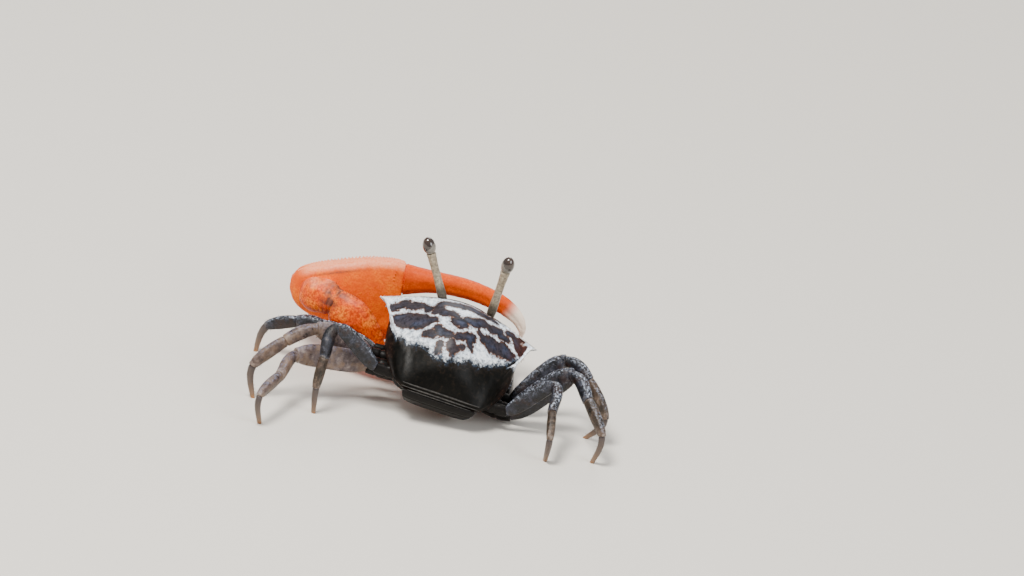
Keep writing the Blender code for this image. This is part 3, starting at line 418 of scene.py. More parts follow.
def on_limb(limb, t, angle, swell=0.0, share=1.0):
    """Point on a limb's surface, raised by swell."""
    spot, _, side, upward = station(limb, t)
    thick, high, low = smooth_key(limb.keys, t)
    c = math.cos(angle)
    s = math.sin(angle)
    a = rounded_power(c, limb.power) * thick + c * swell
    b = rounded_power(s, limb.power) * (high if s > 0 else low) + s * swell
    return spot + (side * a + upward * b) * share * MM


def limb_skin(limb, columns, rows, relief, cap, dome):
    """Skin of a limb, its surface raised by relief(t, angle) millimetres, with domed ends."""

    def place(t, angle):
        share, girth, push = rounded_ends(t, cap, dome * MM)
        spot = on_limb(limb, share, angle, relief(share, angle), girth)
        return spot + station(limb, share)[1] * push, share

    return skin(columns, rows, place)


def rod(path, radii, columns, rows, relief=None):
    """Round rod along a smooth path of points, raised by relief(share of its length)."""

    def centre(t):
        return Vector(smooth_key(path, t))

    def place(t, angle):
        share, girth, push = rounded_ends(t, 0.08, 0.0)
        ahead = centre(min(share + 0.01, 1.0))
        line = (ahead - centre(max(share - 0.01, 0.0))).normalized()
        across = line.cross(UP).normalized()
        upward = across.cross(line)
        radius = smooth_key([(value,) for value in radii], share)[0] * MM
        if relief:
            radius += relief(share) * MM
        out = across * math.cos(angle) + upward * math.sin(angle)
        return centre(share) + out * radius * girth + line * push, share

    return skin(columns, rows, place)


def ball(bm, centre, axes, segments, rings):
    """Ellipsoid with three half axes, given as vectors, added to a mesh."""
    matrix = Matrix.Identity(4)
    for i, axis in enumerate(axes):
        matrix.col[i][:3] = axis
    matrix.translation = centre
    made = bmesh.ops.create_uvsphere(
        bm, u_segments=segments, v_segments=rings, radius=1.0, matrix=matrix)
    return made["verts"]


def mark_all(bm, name, share):
    """Store share(vertex) all over a mesh, for its finish to read under that name."""
    layer = bm.verts.layers.float.new(name)
    for vert in bm.verts:
        vert[layer] = share(vert)


def joined(parts):
    """One mesh from several, each still a closed skin of its own."""
    whole = bmesh.new()
    whole.verts.layers.float.new("along")
    for part in parts:
        mesh = bpy.data.meshes.new("part")
        part.to_mesh(mesh)
        part.free()
        whole.from_mesh(mesh)
        bpy.data.meshes.remove(mesh)
    return whole


def fused(parts, voxel, rounds):
    """One continuous skin over closed pieces that overlap, with the joins smoothed."""
    mesh = bpy.data.meshes.new("fused")
    whole = joined(parts)
    whole.to_mesh(mesh)
    whole.free()
    item = bpy.data.objects.new("fused", mesh)
    bpy.context.scene.collection.objects.link(item)
    remesh = item.modifiers.new("Fuse", "REMESH")
    remesh.mode = "VOXEL"
    remesh.voxel_size = voxel * MM
    soften = item.modifiers.new("Soften", "SMOOTH")
    soften.factor = 0.5
    soften.iterations = rounds
    bpy.context.view_layer.update()
    shown = item.evaluated_get(bpy.context.evaluated_depsgraph_get())
    result = bpy.data.meshes.new_from_object(shown)
    bm = bmesh.new()
    bm.from_mesh(result)
    bpy.data.objects.remove(item)
    bpy.data.meshes.remove(mesh)
    bpy.data.meshes.remove(result)
    bm.normal_update()
    return bm


def grain(bm, size, height, where=None):
    """Raise rounded grains all over a mesh, or as strongly as where(point, normal) says."""
    bm.normal_update()
    moves = []
    for vert in bm.verts:
        strength = where(vert.co, vert.normal) if where else 1.0
        if strength > 0.0:
            near = noise.voronoi(vert.co / (size * MM))[0][0]
            lift = max(0.0, 1.0 - (near / 0.5) ** 2) * height * strength
            moves.append((vert, vert.normal * lift * MM))
    for vert, move in moves:
        vert.co += move


def bristle(bm, root, way, length):
    """One tapered hair, its root sunk in."""
    size = length * MM
    turn = UP.rotation_difference(way).to_matrix().to_4x4()
    bmesh.ops.create_cone(
        bm, cap_ends=True, segments=3, radius1=HAIR_RADIUS * MM, radius2=0.2 * HAIR_RADIUS * MM,
        depth=size, matrix=Matrix.Translation(root + way * size * 0.42) @ turn)


def bristle_row(bm, limb, count, reach, degrees, spread, length):
    """Hairs along a limb, at an angle round it, leaning towards its tip."""
    for _ in range(count):
        t = rng.uniform(*reach)
        angle = math.radians(degrees + rng.gauss(0.0, spread))
        _, slope, side, upward = station(limb, t)
        out = side * math.cos(angle) + upward * math.sin(angle)
        way = (out + slope * rng.uniform(0.3, 0.9)).normalized()
        root = on_limb(limb, t, angle)
        size = length * rng.uniform(0.6, 1.2)
        if root.z + way.z * size * MM > 0.1 * MM:
            bristle(bm, root, way, size)


# Finishes


def linear(code):
    """Linear colour of an sRGB hex code."""
    parts = [int(code[i:i + 2], 16) / 255 for i in (0, 2, 4)]
    return [*(v / 12.92 if v <= 0.04045 else ((v + 0.055) / 1.055) ** 2.4 for v in parts), 1.0]


def feed(target, inputs):
    """Give a node its inputs: a socket is linked, a hex code is a colour, the rest are values."""
    for name, value in inputs.items():
        if isinstance(value, bpy.types.NodeSocket):
            target.id_data.links.new(value, target.inputs[name])
        else:
            target.inputs[name].default_value = linear(value) if isinstance(value, str) else value


def node(tree, kind, inputs=None, ramp=None, out=0, **settings):
    """Add a node with its settings, inputs and, on a ramp, its stops, and give back an output."""
    new = tree.nodes.new("ShaderNode" + kind)
    for name, value in settings.items():
        setattr(new, name, value)
    feed(new, inputs or {})
    if ramp:
        stops = new.color_ramp.elements
        while len(stops) < len(ramp):
            stops.new(0.5)
        for stop, (place, shade) in zip(stops, ramp):
            stop.position = place
            stop.color = linear(shade) if isinstance(shade, str) else (shade, shade, shade, 1.0)
    return new.outputs[out]


def finish_start(name, **sockets):
    """New material: its tree and its shader, with the values that are the same all over it."""
    material = bpy.data.materials.new(name)
    material.use_nodes = True
    tree = material.node_tree
    shader = tree.nodes["Principled BSDF"]
    feed(shader, {key.replace("_", " "): value for key, value in sockets.items()})
    return material, tree, shader


def finish_surface(tree, shader, colour, reliefs, dull=None):
    """Colour a shader, and give it reliefs and a roughness that changes over it.

    A relief is a pattern, a strength, a depth in millimetres, and whether the pattern is turned
    inside out. Dull is a pattern, two of its values and the roughness at each.
    """
    normal = {}
    for pattern, strength, depth, inverted in reliefs:
        bump = {"Height": pattern, "Strength": strength, "Distance": depth * MM, **normal}
        normal = {"Normal": node(tree, "Bump", bump, invert=inverted)}
    feed(shader, {"Base Color": colour, **normal})
    if dull:
        names = ("Value", "From Min", "From Max", "To Min", "To Max")
        feed(shader, {"Roughness": node(tree, "MapRange", dict(zip(names, dull)))})


def scale_of(size):
    """Texture scale that gives features of a size in millimetres."""
    return 1.0 / (size * MM)


def body_place(tree):
    """Object coordinates turned to millimetres in the body frame."""
    back = BODY.inverted() @ Matrix.Translation(-SHIFT)
    return node(tree, "Mapping", {
        "Vector": node(tree, "TexCoord", out="Object"),
        "Location": back.translation / MM,
        "Rotation": back.to_3x3().to_euler("XYZ"),
        "Scale": (1 / MM, 1 / MM, 1 / MM),
    })


def carapace_finish():
    """Marbled crab shell under a clear, wet cuticle: chalky blue-white over slate, black behind."""
    material, tree, shader = finish_start("marbled_wet_carapace", IOR=1.5)
    place = body_place(tree)
    mark, black, beside = (
        node(tree, "Attribute", out="Fac", attribute_name=name)
        for name in ("mark", "black", "beside"))
    # ragged edges: lobes of 0.7 mm, then specks of 0.28 mm
    lobes = node(tree, "TexNoise", {
        "Vector": place, "Scale": 1 / 0.7, "Detail": 4.0, "Roughness": 0.65})
    specks = node(tree, "TexNoise", {
        "Vector": place, "Scale": 1 / 0.28, "Detail": 3.0, "Roughness": 0.7})
    ragged = node(tree, "Math", {0: lobes, 1: 0.72}, operation="MULTIPLY")
    ragged = node(tree, "Math", {0: specks, 1: 0.78, 2: ragged}, operation="MULTIPLY_ADD")
    ragged = node(tree, "Math", {0: ragged, 1: -0.75})
    field = node(tree, "Math", {0: ragged, 1: mark})
    shown = node(tree, "MapRange", {"Value": field, "From Min": -0.8, "From Max": 0.8})
    front = node(tree, "ValToRGB", {"Fac": shown}, ramp=(
        (0.0, "F6FAFE"), (0.28, "E6EDF4"), (0.40, "AEB6BF"), (0.45, "7C5A48"),
        (0.50, "452C22"), (0.57, "2A2426"), (0.68, "2A2B35"), (1.0, "3A3F52")))
    # greyer and browner blotches in places, rusty ones at the right front corner
    dark = node(tree, "MapRange", {"Value": shown, "From Min": 0.46, "From Max": 0.54})
    dusk = node(tree, "TexNoise", {"Vector": place, "Scale": 1 / 2.2, "Detail": 2.0})
    dusky = node(tree, "MapRange", {
        "Value": dusk, "From Min": 0.42, "From Max": 0.58, "To Max": 0.75})
    across = node(tree, "SeparateXYZ", {"Vector": place}, out="X")
    rusty = node(tree, "MapRange", {
        "Value": across, "From Min": -6.2, "From Max": -8.4, "To Max": 0.85})
    for amount, shade in ((dusky, "332A2C"), (rusty, "3C190B")):
        share = node(tree, "Math", {0: amount, 1: dark}, operation="MULTIPLY")
        front = node(tree, "MixRGB", {"Fac": share, "Color1": front, "Color2": shade})
    # greyer veins of 0.5 mm in the chalky ground
    veins = node(tree, "TexNoise", {
        "Vector": place, "Scale": 1 / 0.5, "Detail": 4.0, "Roughness": 0.75})
    veined = node(tree, "ValToRGB", {"Fac": veins}, ramp=(
        (0.36, "5A626E"), (0.49, "DFE5EC"), (0.58, "FFFFFF")))
    front = node(tree, "MixRGB", {"Fac": 0.8, "Color1": front, "Color2": veined},
                 blend_type="MULTIPLY")
    # the black rear half, with a painted blue sheen of reflected sky near its edge, and the brown
    # flanks and face
    rear_field = node(tree, "Math", {0: ragged, 1: 2.0, 2: black}, operation="MULTIPLY_ADD")
    rear_share = node(tree, "MapRange", {
        "Value": rear_field, "From Min": -0.25, "From Max": 0.35})
    painted_sky_sheen = node(tree, "MapRange", {
        "Value": black, "From Min": 0.1, "From Max": 1.4, "To Min": 0.36, "To Max": 0.0})
    sheen_and_veins = node(tree, "Math", {0: painted_sky_sheen, 1: veins})
    # the blue-grey stops carry the painted sky sheen; the rest is the black shell's own colour
    rear = node(tree, "ValToRGB", {"Fac": sheen_and_veins}, ramp=(
        (0.40, "050504"), (0.56, "0A0907"), (0.66, "1A140E"), (0.78, "161B23"),
        (0.92, "3E4856")))
    brown = node(tree, "ValToRGB", {"Fac": veins}, ramp=(
        (0.38, "0C0604"), (0.55, "1B0F0B"), (0.70, "463429")))
    rear = node(tree, "MixRGB", {"Fac": beside, "Color1": rear, "Color2": brown})
    colour = node(tree, "MixRGB", {"Fac": rear_share, "Color1": front, "Color2": rear})
    # fine granules of 0.17 mm under the cuticle, and low waves
    granules = node(tree, "TexVoronoi", {
        "Vector": place, "Scale": 1 / 0.17, "Randomness": 0.9}, feature="SMOOTH_F1")
    reliefs = ((granules, 0.14, 0.03, True), (veins, 0.3, 0.06, False))
    finish_surface(tree, shader, colour, reliefs, (lobes, 0.3, 0.7, 0.32, 0.46))
    # the black half shines less than the marbled half
    shine = node(tree, "MapRange", {"Value": rear_share, "To Min": 0.16, "To Max": 0.1})
    feed(shader, {"Specular IOR Level": shine})
    return material


def leg_finish(name, dark, middle, pale, band, patch, highlight_tint):
    """Satin limb shell: mottled, paler at its joints, patched brown, with a painted highlight on
    top.
    """
    material, tree, shader = finish_start(name, Specular_IOR_Level=0.4)
    place = node(tree, "TexCoord", out="Object")
    along = node(tree, "Attribute", out="Fac", attribute_name="along")
    upper = node(tree, "Attribute", out="Fac", attribute_name="upper")
    mottle = node(tree, "TexNoise", {
        "Vector": place, "Scale": scale_of(0.75), "Detail": 4.0, "Roughness": 0.72})
    ends = node(tree, "ValToRGB", {"Fac": along}, ramp=(
        (0.0, 0.14), (0.12, 0.0), (0.34, 0.0), (0.5, 0.07), (0.66, 0.0), (0.84, 0.08),
        (1.0, 0.2)))
    shade = node(tree, "Math", {0: mottle, 1: ends})
    colour = node(tree, "ValToRGB", {"Fac": shade}, ramp=(
        (0.34, dark), (0.54, middle), (0.68, pale), (0.86, band)))
    clouds = node(tree, "TexNoise", {
        "Vector": place, "Scale": scale_of(1.6), "Detail": 3.0, "Roughness": 0.6})
    browner = node(tree, "MapRange", {
        "Value": clouds, "From Min": 0.5, "From Max": 0.62, "To Max": 0.7})
    colour = node(tree, "MixRGB", {"Fac": browner, "Color1": colour, "Color2": patch})
    grains = node(tree, "TexNoise", {
        "Vector": place, "Scale": scale_of(0.26), "Detail": 4.0, "Roughness": 0.75})
    # a painted bluish-white highlight, speckled like wet shine, on the faces that point up
    painted_highlight = node(tree, "MapRange", {
        "Value": grains, "From Min": 0.52, "From Max": 0.61, "To Max": 0.8})
    painted_highlight = node(tree, "Math", {0: painted_highlight, 1: upper}, operation="MULTIPLY")
    colour = node(tree, "MixRGB", {"Fac": painted_highlight, "Color1": colour, "Color2": highlight_tint})
    # granules of 0.14 mm under short wrinkles
    granules = node(tree, "TexVoronoi", {"Vector": place, "Scale": scale_of(0.14)},
                    feature="SMOOTH_F1")
    reliefs = ((granules, 0.5, 0.06, True), (grains, 0.6, 0.12, False))
    finish_surface(tree, shader, colour, reliefs, (mottle, 0.35, 0.65, 0.26, 0.46))
    return material


def claw_finish(name, deep, base, light, peel_size, gap, white=False):
    """Hard orange shell, an orange-peel grain with painted shade in its grooves, and a painted
    highlight, a paler band and stains in places.

    The tip is white where asked for.
    """
    material, tree, shader = finish_start(name, Specular_IOR_Level=0.14)
    place = node(tree, "TexCoord", out="Object")
    blush = node(tree, "TexNoise", {
        "Vector": place, "Scale": scale_of(2.4), "Detail": 6.0, "Roughness": 0.66})
    colour = node(tree, "ValToRGB", {"Fac": blush}, ramp=(
        (0.34, deep), (0.50, base), (0.68, light)))
    specks = node(tree, "TexNoise", {
        "Vector": place, "Scale": scale_of(0.24), "Detail": 2.0, "Roughness": 0.6})
    lighter = node(tree, "MapRange", {
        "Value": specks, "From Min": 0.58, "From Max": 0.75, "To Max": 0.35})
    peel = node(tree, "TexVoronoi", {"Vector": place, "Scale": scale_of(peel_size)},
                feature="SMOOTH_F1")
    # the darker orange in the grooves between the grains is painted shade
    groove_shade = node(tree, "MapRange", {
        "Value": peel, "From Min": 0.3, "From Max": 0.62, "To Max": 0.75})
    coats = [(lighter, "FA7A24"), (groove_shade, gap)]
    broken = node(tree, "Math", {0: specks, 1: 1.5}, operation="MULTIPLY")
    # "pale" is a painted highlight on upward faces of the arm, and on the palm a pale band that is
    # partly its own colour and partly painted highlight; "stain" is brown stain
    for attribute, shade in (("pale", "FFAE88"), ("stain", "6B3F34")):
        painted = node(tree, "Attribute", out="Fac", attribute_name=attribute)
        share = node(tree, "Math", {0: painted, 1: broken}, operation="MULTIPLY", use_clamp=True)
        coats.append((share, shade))
    if white:
        along = node(tree, "Attribute", out="Fac", attribute_name="along")
        fade = node(tree, "MapRange", {"Value": along, "From Min": 0.61, "From Max": 0.74},
                    interpolation_type="SMOOTHSTEP")
        coats.append((fade, "F4DECA"))
    for share, shade in coats:
        colour = node(tree, "MixRGB", {"Fac": share, "Color1": colour, "Color2": shade})
    reliefs = ((peel, 0.35, 0.05, True), (blush, 0.25, 0.15, False))
    finish_surface(tree, shader, colour, reliefs, (blush, 0.3, 0.7, 0.38, 0.52))
    return material


def plain_finish(name, low, high, roughness, size, bump, root=None, **sockets):
    """Two shades in soft patches of a size in millimetres, over a grain of a third of that.

    The root is darker where its colour is given.
    """
    material, tree, shader = finish_start(name, Roughness=roughness, **sockets)
    place = node(tree, "TexCoord", out="Object")
    patches = node(tree, "TexNoise", {
        "Vector": place, "Scale": scale_of(size), "Detail": 4.0, "Roughness": 0.7})
    colour = node(tree, "ValToRGB", {"Fac": patches}, ramp=((0.38, low), (0.62, high)))
    if root:
        along = node(tree, "Attribute", out="Fac", attribute_name="along")
        fade = node(tree, "MapRange", {
            "Value": along, "From Min": 0.46, "From Max": 0.32, "To Max": 0.85})
        colour = node(tree, "MixRGB", {"Fac": fade, "Color1": colour, "Color2": root})
    rough = node(tree, "TexNoise", {"Vector": place, "Scale": scale_of(size / 3), "Detail": 2.0})
    finish_surface(tree, shader, colour, ((rough, bump, 0.05, False),))
    return material


def underside_finish():
    """Breast and tail plates: dark grey-brown where they meet the back, chalky brown below."""
    material, tree, shader = finish_start(
        "breast_and_tail_shell", Roughness=0.44, Specular_IOR_Level=0.14)
    place = body_place(tree)
    height = node(tree, "SeparateXYZ", {"Vector": place}, out="Z")
    mottle = node(tree, "TexNoise", {
        "Vector": place, "Scale": 1 / 0.9, "Detail": 5.0, "Roughness": 0.72})
    level = node(tree, "MapRange", {
        "Value": height, "From Min": -8.0, "From Max": -6.3, "To Min": 0.3, "To Max": -0.28})
    shade = node(tree, "Math", {0: mottle, 1: level})
    colour = node(tree, "ValToRGB", {"Fac": shade}, ramp=(
        (0.28, "0C0A09"), (0.44, "211C19"), (0.60, "484038"), (0.90, "8A7F6E")))
    finish_surface(tree, shader, colour, ((mottle, 0.35, 0.08, False),))
    return material


def shaded_along(tree, size, amount):
    """Attribute "along", unsettled by a mottle of a size in millimetres."""
    mottle = node(tree, "TexNoise", {
        "Vector": node(tree, "TexCoord", out="Object"), "Scale": scale_of(size), "Detail": 3.0})
    shade = node(tree, "Math", {0: mottle, 1: amount, 2: -amount / 2}, operation="MULTIPLY_ADD")
    along = node(tree, "Attribute", out="Fac", attribute_name="along")
    return node(tree, "Math", {0: shade, 1: along})


def toe_finish():
    """Horny toe: grey-brown where it joins the leg, orange-brown at its tip."""
    material, tree, shader = finish_start("horn_toe", Roughness=0.42, IOR=1.54)
    colour = node(tree, "ValToRGB", {"Fac": shaded_along(tree, 0.5, 0.22)}, ramp=(
        (0.0, "3C3231"), (0.4, "57483F"), (0.75, "7A5E47"), (1.0, "A86A2C")))
    finish_surface(tree, shader, colour, ())
    return material


def eye_finish():
    """Glossy dark brown cornea over the paler grey skin of the stalk, with an oblique edge."""
    material, tree, shader = finish_start("cornea", IOR=1.5, Coat_Weight=0.8, Coat_Roughness=0.04)
    shade = shaded_along(tree, 0.3, 0.12)
    colour = node(tree, "ValToRGB", {"Fac": shade}, ramp=(
        (0.0, "8B8375"), (0.44, "6F6A62"), (0.50, "2A2320"), (0.62, "2B211C"), (0.8, "3A2C24"),
        (1.0, "221A18")))
    # facets of the compound eye, drawn at 0.09 mm, coarser than the real ones so that they show
    facets = node(tree, "TexVoronoi", {
        "Vector": node(tree, "TexCoord", out="Object"), "Scale": scale_of(0.09)})
    reliefs = ((facets, 0.08, 0.01, True),)
    finish_surface(tree, shader, colour, reliefs, (shade, 0.44, 0.5, 0.45, 0.12))
    return material


FINISH = {
    "carapace": carapace_finish(),
    # the last colour of each leg finish is its painted highlight on upward faces
    "leg_dark": leg_finish(
        "mottled_leg_shell_dark", "060608", "121218", "30323D", "736C66", "28170F", "BCC6DA"),
    "leg_lower": leg_finish(
        "mottled_leg_shell_lower", "120F0E", "33291F", "5F4F43", "9A8F86", "4E3C32", "8E93A4"),
    "leg_dusky": leg_finish(
        "mottled_leg_shell_dusky", "332B2C", "5A4D4D", "7C6E6B", "988B80", "78614F", "70738E"),
    "leg_brown": leg_finish(
        "mottled_leg_shell_brown", "2E2423", "54453F", "76655C", "95877B", "745D4B", "74768F"),
    "toe": toe_finish(),
    "eye": eye_finish(),
    # the colour after the grain size of each claw finish is the painted shade in its grooves
    "claw": claw_finish("orange_claw_shell", "D84E00", "EC6200", "F87C08", 0.2, "DA5000"),
    "claw_finger": claw_finish(
        "orange_claw_shell_to_white", "C03C00", "D44A00", "E65E04", 0.2, "C24000", True),
    "claw_arm": claw_finish("deep_orange_arm_shell", "C03400", "E65600", "FC8A12", 0.22, "A42600"),
    "small_claw": plain_finish(
        "orange_brown_claw_shell", "8E4A26", "BD7A4C", 0.4, 0.9, 0.3, IOR=1.54),
    "underside": underside_finish(),
    "stalk": plain_finish(
        "speckled_stalk_skin", "6E6250", "AB9D86", 0.42, 0.28, 0.4, "2E2820", IOR=1.48),
    "joint": plain_finish("joint_skin", "6B4A38", "A08468", 0.5, 0.35, 0.5, IOR=1.45),
    "joint_dark": plain_finish("joint_skin_dark", "2A2220", "564840", 0.5, 0.35, 0.5, IOR=1.45),
    "tooth": plain_finish("ivory_tooth", "D2B79C", "EBD9C6", 0.35, 0.4, 0.15, IOR=1.56),
    "rim": plain_finish("chalky_shell_rim", "8E8A84", "DEDDD8", 0.4, 0.4, 0.25, IOR=1.53),
    "rim_grey": plain_finish("grey_shell_rim", "0D0C0B", "383532", 0.4, 0.4, 0.3, IOR=1.53),
    "bristle": plain_finish("brown_bristle", "3B2A1C", "6E5438", 0.5, 0.5, 0.0, IOR=1.5),
}


def piece(name, bm, finish, slot, *nodes, levels=0):
    """Finished piece from a mesh in the crab's own frame."""
    bmesh.ops.translate(bm, vec=SHIFT, verts=bm.verts)
    mesh = bpy.data.meshes.new(name)
    bm.to_mesh(mesh)
    bm.free()
    mesh.shade_smooth()
    mesh.materials.append(FINISH[finish])
    item = bpy.data.objects.new(name, mesh)
    bpy.context.scene.collection.objects.link(item)
    if levels:
        finer = item.modifiers.new("Fine", "SUBSURF")
        finer.levels = levels
        finer.render_levels = levels
    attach(item, "root")
    if nodes:
        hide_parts(*nodes)


# Carapace


def back_height(row, x):
    """Height of the back on a section, at a distance from its middle line."""
    _, ridge_width, ridge_height, crest_height = row[:4]
    share = min(abs(x) / ridge_width, 1.0)
    return ridge_height + (crest_height - ridge_height) * (1 - share**2) ** ARCH_POWER


def carapace_outline(row, q):
    """Point of a section, at q from 0 on the middle of the back to 1 on the middle below."""
    _, ridge, ridge_z, _, flank, floor = row
    if q < RIDGE_Q:
        x = ridge * math.sin(q / RIDGE_Q * math.pi / 2)
        return x, back_height(row, x)
    tuck = ridge - RIM if ridge > flank else ridge
    flank_z = 0.5 * (ridge_z + floor)
    lower = (
        (ridge, ridge_z),
        (tuck, ridge_z - RIM),
        (tuck + 0.62 * (flank - tuck), ridge_z + 0.5 * (flank_z - ridge_z) - 0.5 * RIM),
        (flank, flank_z),
        (flank - 0.55, 0.4 * flank_z + 0.6 * floor),
        (0.78 * flank, floor),
        (0.4 * flank, floor),
        (0.0, floor),
    )
    return smooth_key(lower, (q - RIDGE_Q) / (1 - RIDGE_Q))


def rounded_outline(row, q, share):
    """Outline point, with the ridge rounded away in the rear half."""
    x, z = carapace_outline(row, q)
    soft = step_up(0.42, 0.7, share) * (1 - step_up(0.12, 0.24, abs(q - RIDGE_Q)))
    if soft > 0.0:
        near = [carapace_outline(row, q + 0.026 * i) for i in range(-5, 6)]
        x += soft * (sum(spot[0] for spot in near) / len(near) - x)
        z += soft * (sum(spot[1] for spot in near) / len(near) - z)
    return x, z


def carapace_y(row, x, z):
    """Place along the body of a section's point: bowed margins, and a face that leans back."""
    y, _, ridge_z = row[:3]
    s = (y - FRONT[0]) / (REAR[0] - FRONT[0])
    y += (1 - s) ** 2 * SWEEP_BACK * (x / FRONT[1]) ** 2
    y -= s**3 * REAR_SWEEP * (x / REAR[1]) ** 2
    return y + (1 - s) ** 3 * FACE_SLOPE * max(0.0, ridge_z - z)


def orbit_share(x):
    """Place along an orbit, from 0 at its inner end to 1 at its outer end."""
    return (abs(x) - ORBIT_INNER) / (ORBIT_OUTER - ORBIT_INNER)


def face_hollow(x, z):
    """Depth of the orbits, and of the recess under the front lobe, at a point of the face."""
    drop = back_height(FRONT, x) - z
    t = orbit_share(x)
    depth = 0.0
    if -0.06 < t < 1.02:
        radius = ORBIT_RADIUS * (1.0 - 0.35 * t)
        away = (drop - ORBIT_DROP * (1.0 - 0.25 * t)) / radius
        fade = step_up(-0.06, 0.05, t) * (1 - step_up(0.93, 1.02, t))
        depth += fade * radius * 1.1 * math.sqrt(max(0.0, 1.0 - away**2))
    away = (drop - LOBE_HEIGHT - LOBE_RECESS) / LOBE_RECESS
    depth += (1 - step_up(1.9, 2.5, abs(x))) * LOBE_RECESS * math.sqrt(max(0.0, 1.0 - away**2))
    # shallow furrow down the middle of the lobe, and a hollow cheek below the orbits
    depth += 0.06 * hump(x, 0.0, 0.5) * (1 - step_up(0.9, 1.3, drop))
    depth += 0.14 * hump(abs(x), 5.6, 1.5) * hump(z, -2.6, 0.8)
    return depth


def back_relief(x, y):
    """Height of the low swellings and grooves of the back."""
    side = abs(x)
    lift = -0.07 * hump(side, 2.1 + 0.12 * (y - 1.0), 0.42) * hump(y, 1.0, 1.9)
    lift -= 0.05 * hump(y, 0.7 - 0.15 * side, 0.42) * (1 - step_up(1.6, 2.6, side))
    lift -= 0.08 * hump(x, 0.0, 0.32) * (1 - step_up(-3.2, -1.6, y))
    lift -= 0.08 * hump(side, 4.6, 0.5) * hump(y, -2.6, 1.3)
    lift += 0.04 * noise.noise(Vector((x / 1.6, y / 1.6, 0.3)))
    lift += 0.02 * noise.noise(Vector((x / 0.5, y / 0.5, 1.3)))
    return lift


def stalk_line(side):
    """Sunk end, foot and direction of an eyestalk."""
    foot = in_body(*STALK_FOOT[side])
    along = STALK_REACH[side].normalized()
    return foot - along * STALK_SUNK * MM, foot, along


def clear_of_stalks(spot):
    """Push a point of the shell out of the way of the eyestalks."""
    for side in SIDES:
        start, _, along = stalk_line(side)
        offset = spot - start
        depth = offset.dot(along)
        away = offset - along * depth
        clearance = 0.68 * MM
        if depth > -0.4 * MM and away.length < clearance:
            spot = start + along * depth + away.normalized() * clearance
    return spot


def blotch_field(x, y):
    """How deep in a dark blotch a place on the back lies, in millimetres: negative outside."""
    wander = Vector()
    for size, height, seed in BLOTCH_WAVES:
        wander += noise.noise_vector(Vector((x / size, y / size, seed))) * height
    x += wander.x
    y += wander.y
    # dark band along the front margin, widest behind the right eyestalk
    behind = y - FRONT[0] - SWEEP_BACK * (x / FRONT[1]) ** 2
    band = 0.1 + 0.2 * hump(x, 2.6, 2.0) + 0.55 * hump(x, -2.7, 2.0)
    best = (band - behind) * (1 - step_up(5.2, 6.4, abs(x))) - step_up(5.2, 6.4, abs(x))
    best = max(best, -1.0) - BLOTCH_GROWTH
    for x1, y1, half1, x2, y2, half2 in BLOTCHES:
        run = Vector((x2 - x1, y2 - y1))
        t = max(0.0, min(1.0, Vector((x - x1, y - y1)).dot(run) / run.length_squared))
        distance = math.hypot(x - x1 - run.x * t, y - y1 - run.y * t)
        best = max(best, half1 + (half2 - half1) * t - distance)
    return best + BLOTCH_GROWTH


def black_field(x, y):
    """How far behind the marbled half a place lies, in millimetres."""
    for (x1, y1), (x2, y2) in zip(BLACK_EDGE, BLACK_EDGE[1:]):
        if x1 >= x > x2:
            return y - y1 - (y2 - y1) * (x1 - x) / (x1 - x2)
    return y + 2.0


def carapace_marks(at):
    """Depth in a blotch, distance behind the marbled half, and share of brown, at a place."""
    share = (at.y - FRONT[0]) / (REAR[0] - FRONT[0])
    row = smooth_key(CARAPACE_SECTIONS, share)
    below = row[2] - at.z
    # a white strip runs back from each front corner, just below the ridge, wider on the right
    strip = 0.95 if at.x < 0 else 0.25
    strip *= (1 - step_up(0.25, 0.6, share)) * step_up(5.0, 6.0, abs(at.x))
    kept = strip * max(step_up(0.1, 0.25, below), 1 - step_up(0.35, 0.5, row[1] - abs(at.x)))
    # the flanks and the face are brown
    beside = step_up(0.0, 0.8, below - 0.25 - strip)
    fallen = back_height(FRONT, at.x) - at.z
    beside += step_up(0.0, 0.35, FRONT[0] + 1.2 - at.y) * step_up(0.5, 1.0, fallen)
    beside = min(beside, 1.0)
    behind = black_field(at.x, at.y) - 4.0 * kept
    behind += (2.0 - behind) * beside
    return blotch_field(at.x, at.y) - 2.0 * kept, behind, 0.85 * beside


def build_carapace():
    def place(t, angle):
        q = abs(angle) / math.pi
        sign = 1 if angle >= 0 else -1
        if t < FACE_END:
            inset = math.sin(t / FACE_END * math.pi / 2)
            x, z = carapace_outline(FRONT, q)
            x *= inset
            z = FACE_MIDDLE + (z - FACE_MIDDLE) * inset
            y = carapace_y(FRONT, x, z) + face_hollow(x, z)
        elif t < REAR_START:
            share = (t - FACE_END) / (REAR_START - FACE_END)
            row = smooth_key(CARAPACE_SECTIONS, share)
            x, z = rounded_outline(row, q, share)
            y = carapace_y(row, x, z)
            if q < RIDGE_Q:
                fade = step_up(0.0, 0.04, share) * (1 - step_up(0.42, 0.5, q))
                z += back_relief(sign * x, y) * fade
        else:
            inset = (1 - t) / (1 - REAR_START)
            x, z = rounded_outline(REAR, q, 1.0)
            x *= inset
            z = REAR_MIDDLE + (z - REAR_MIDDLE) * inset
            y = carapace_y(REAR, x, z) + 0.1 * (1 - inset**2)
        return clear_of_stalks(in_body(sign * x, y, z)), t

    bm = skin(*CARAPACE_SKIN, place)
    layers = [bm.verts.layers.float.new(name) for name in ("mark", "black", "beside")]
    home = BODY.inverted()
    for vert in bm.verts:
        for layer, value in zip(layers, carapace_marks(home @ vert.co / MM)):
            vert[layer] = value
    piece("carapace_shell", bm, "carapace", "carapace_shell", "carapace")


def margin_point(x):
    """Point of the front margin, just inside the shell."""
    return in_body(x, carapace_y(FRONT, x, 0.5), back_height(FRONT, x) - 0.02)


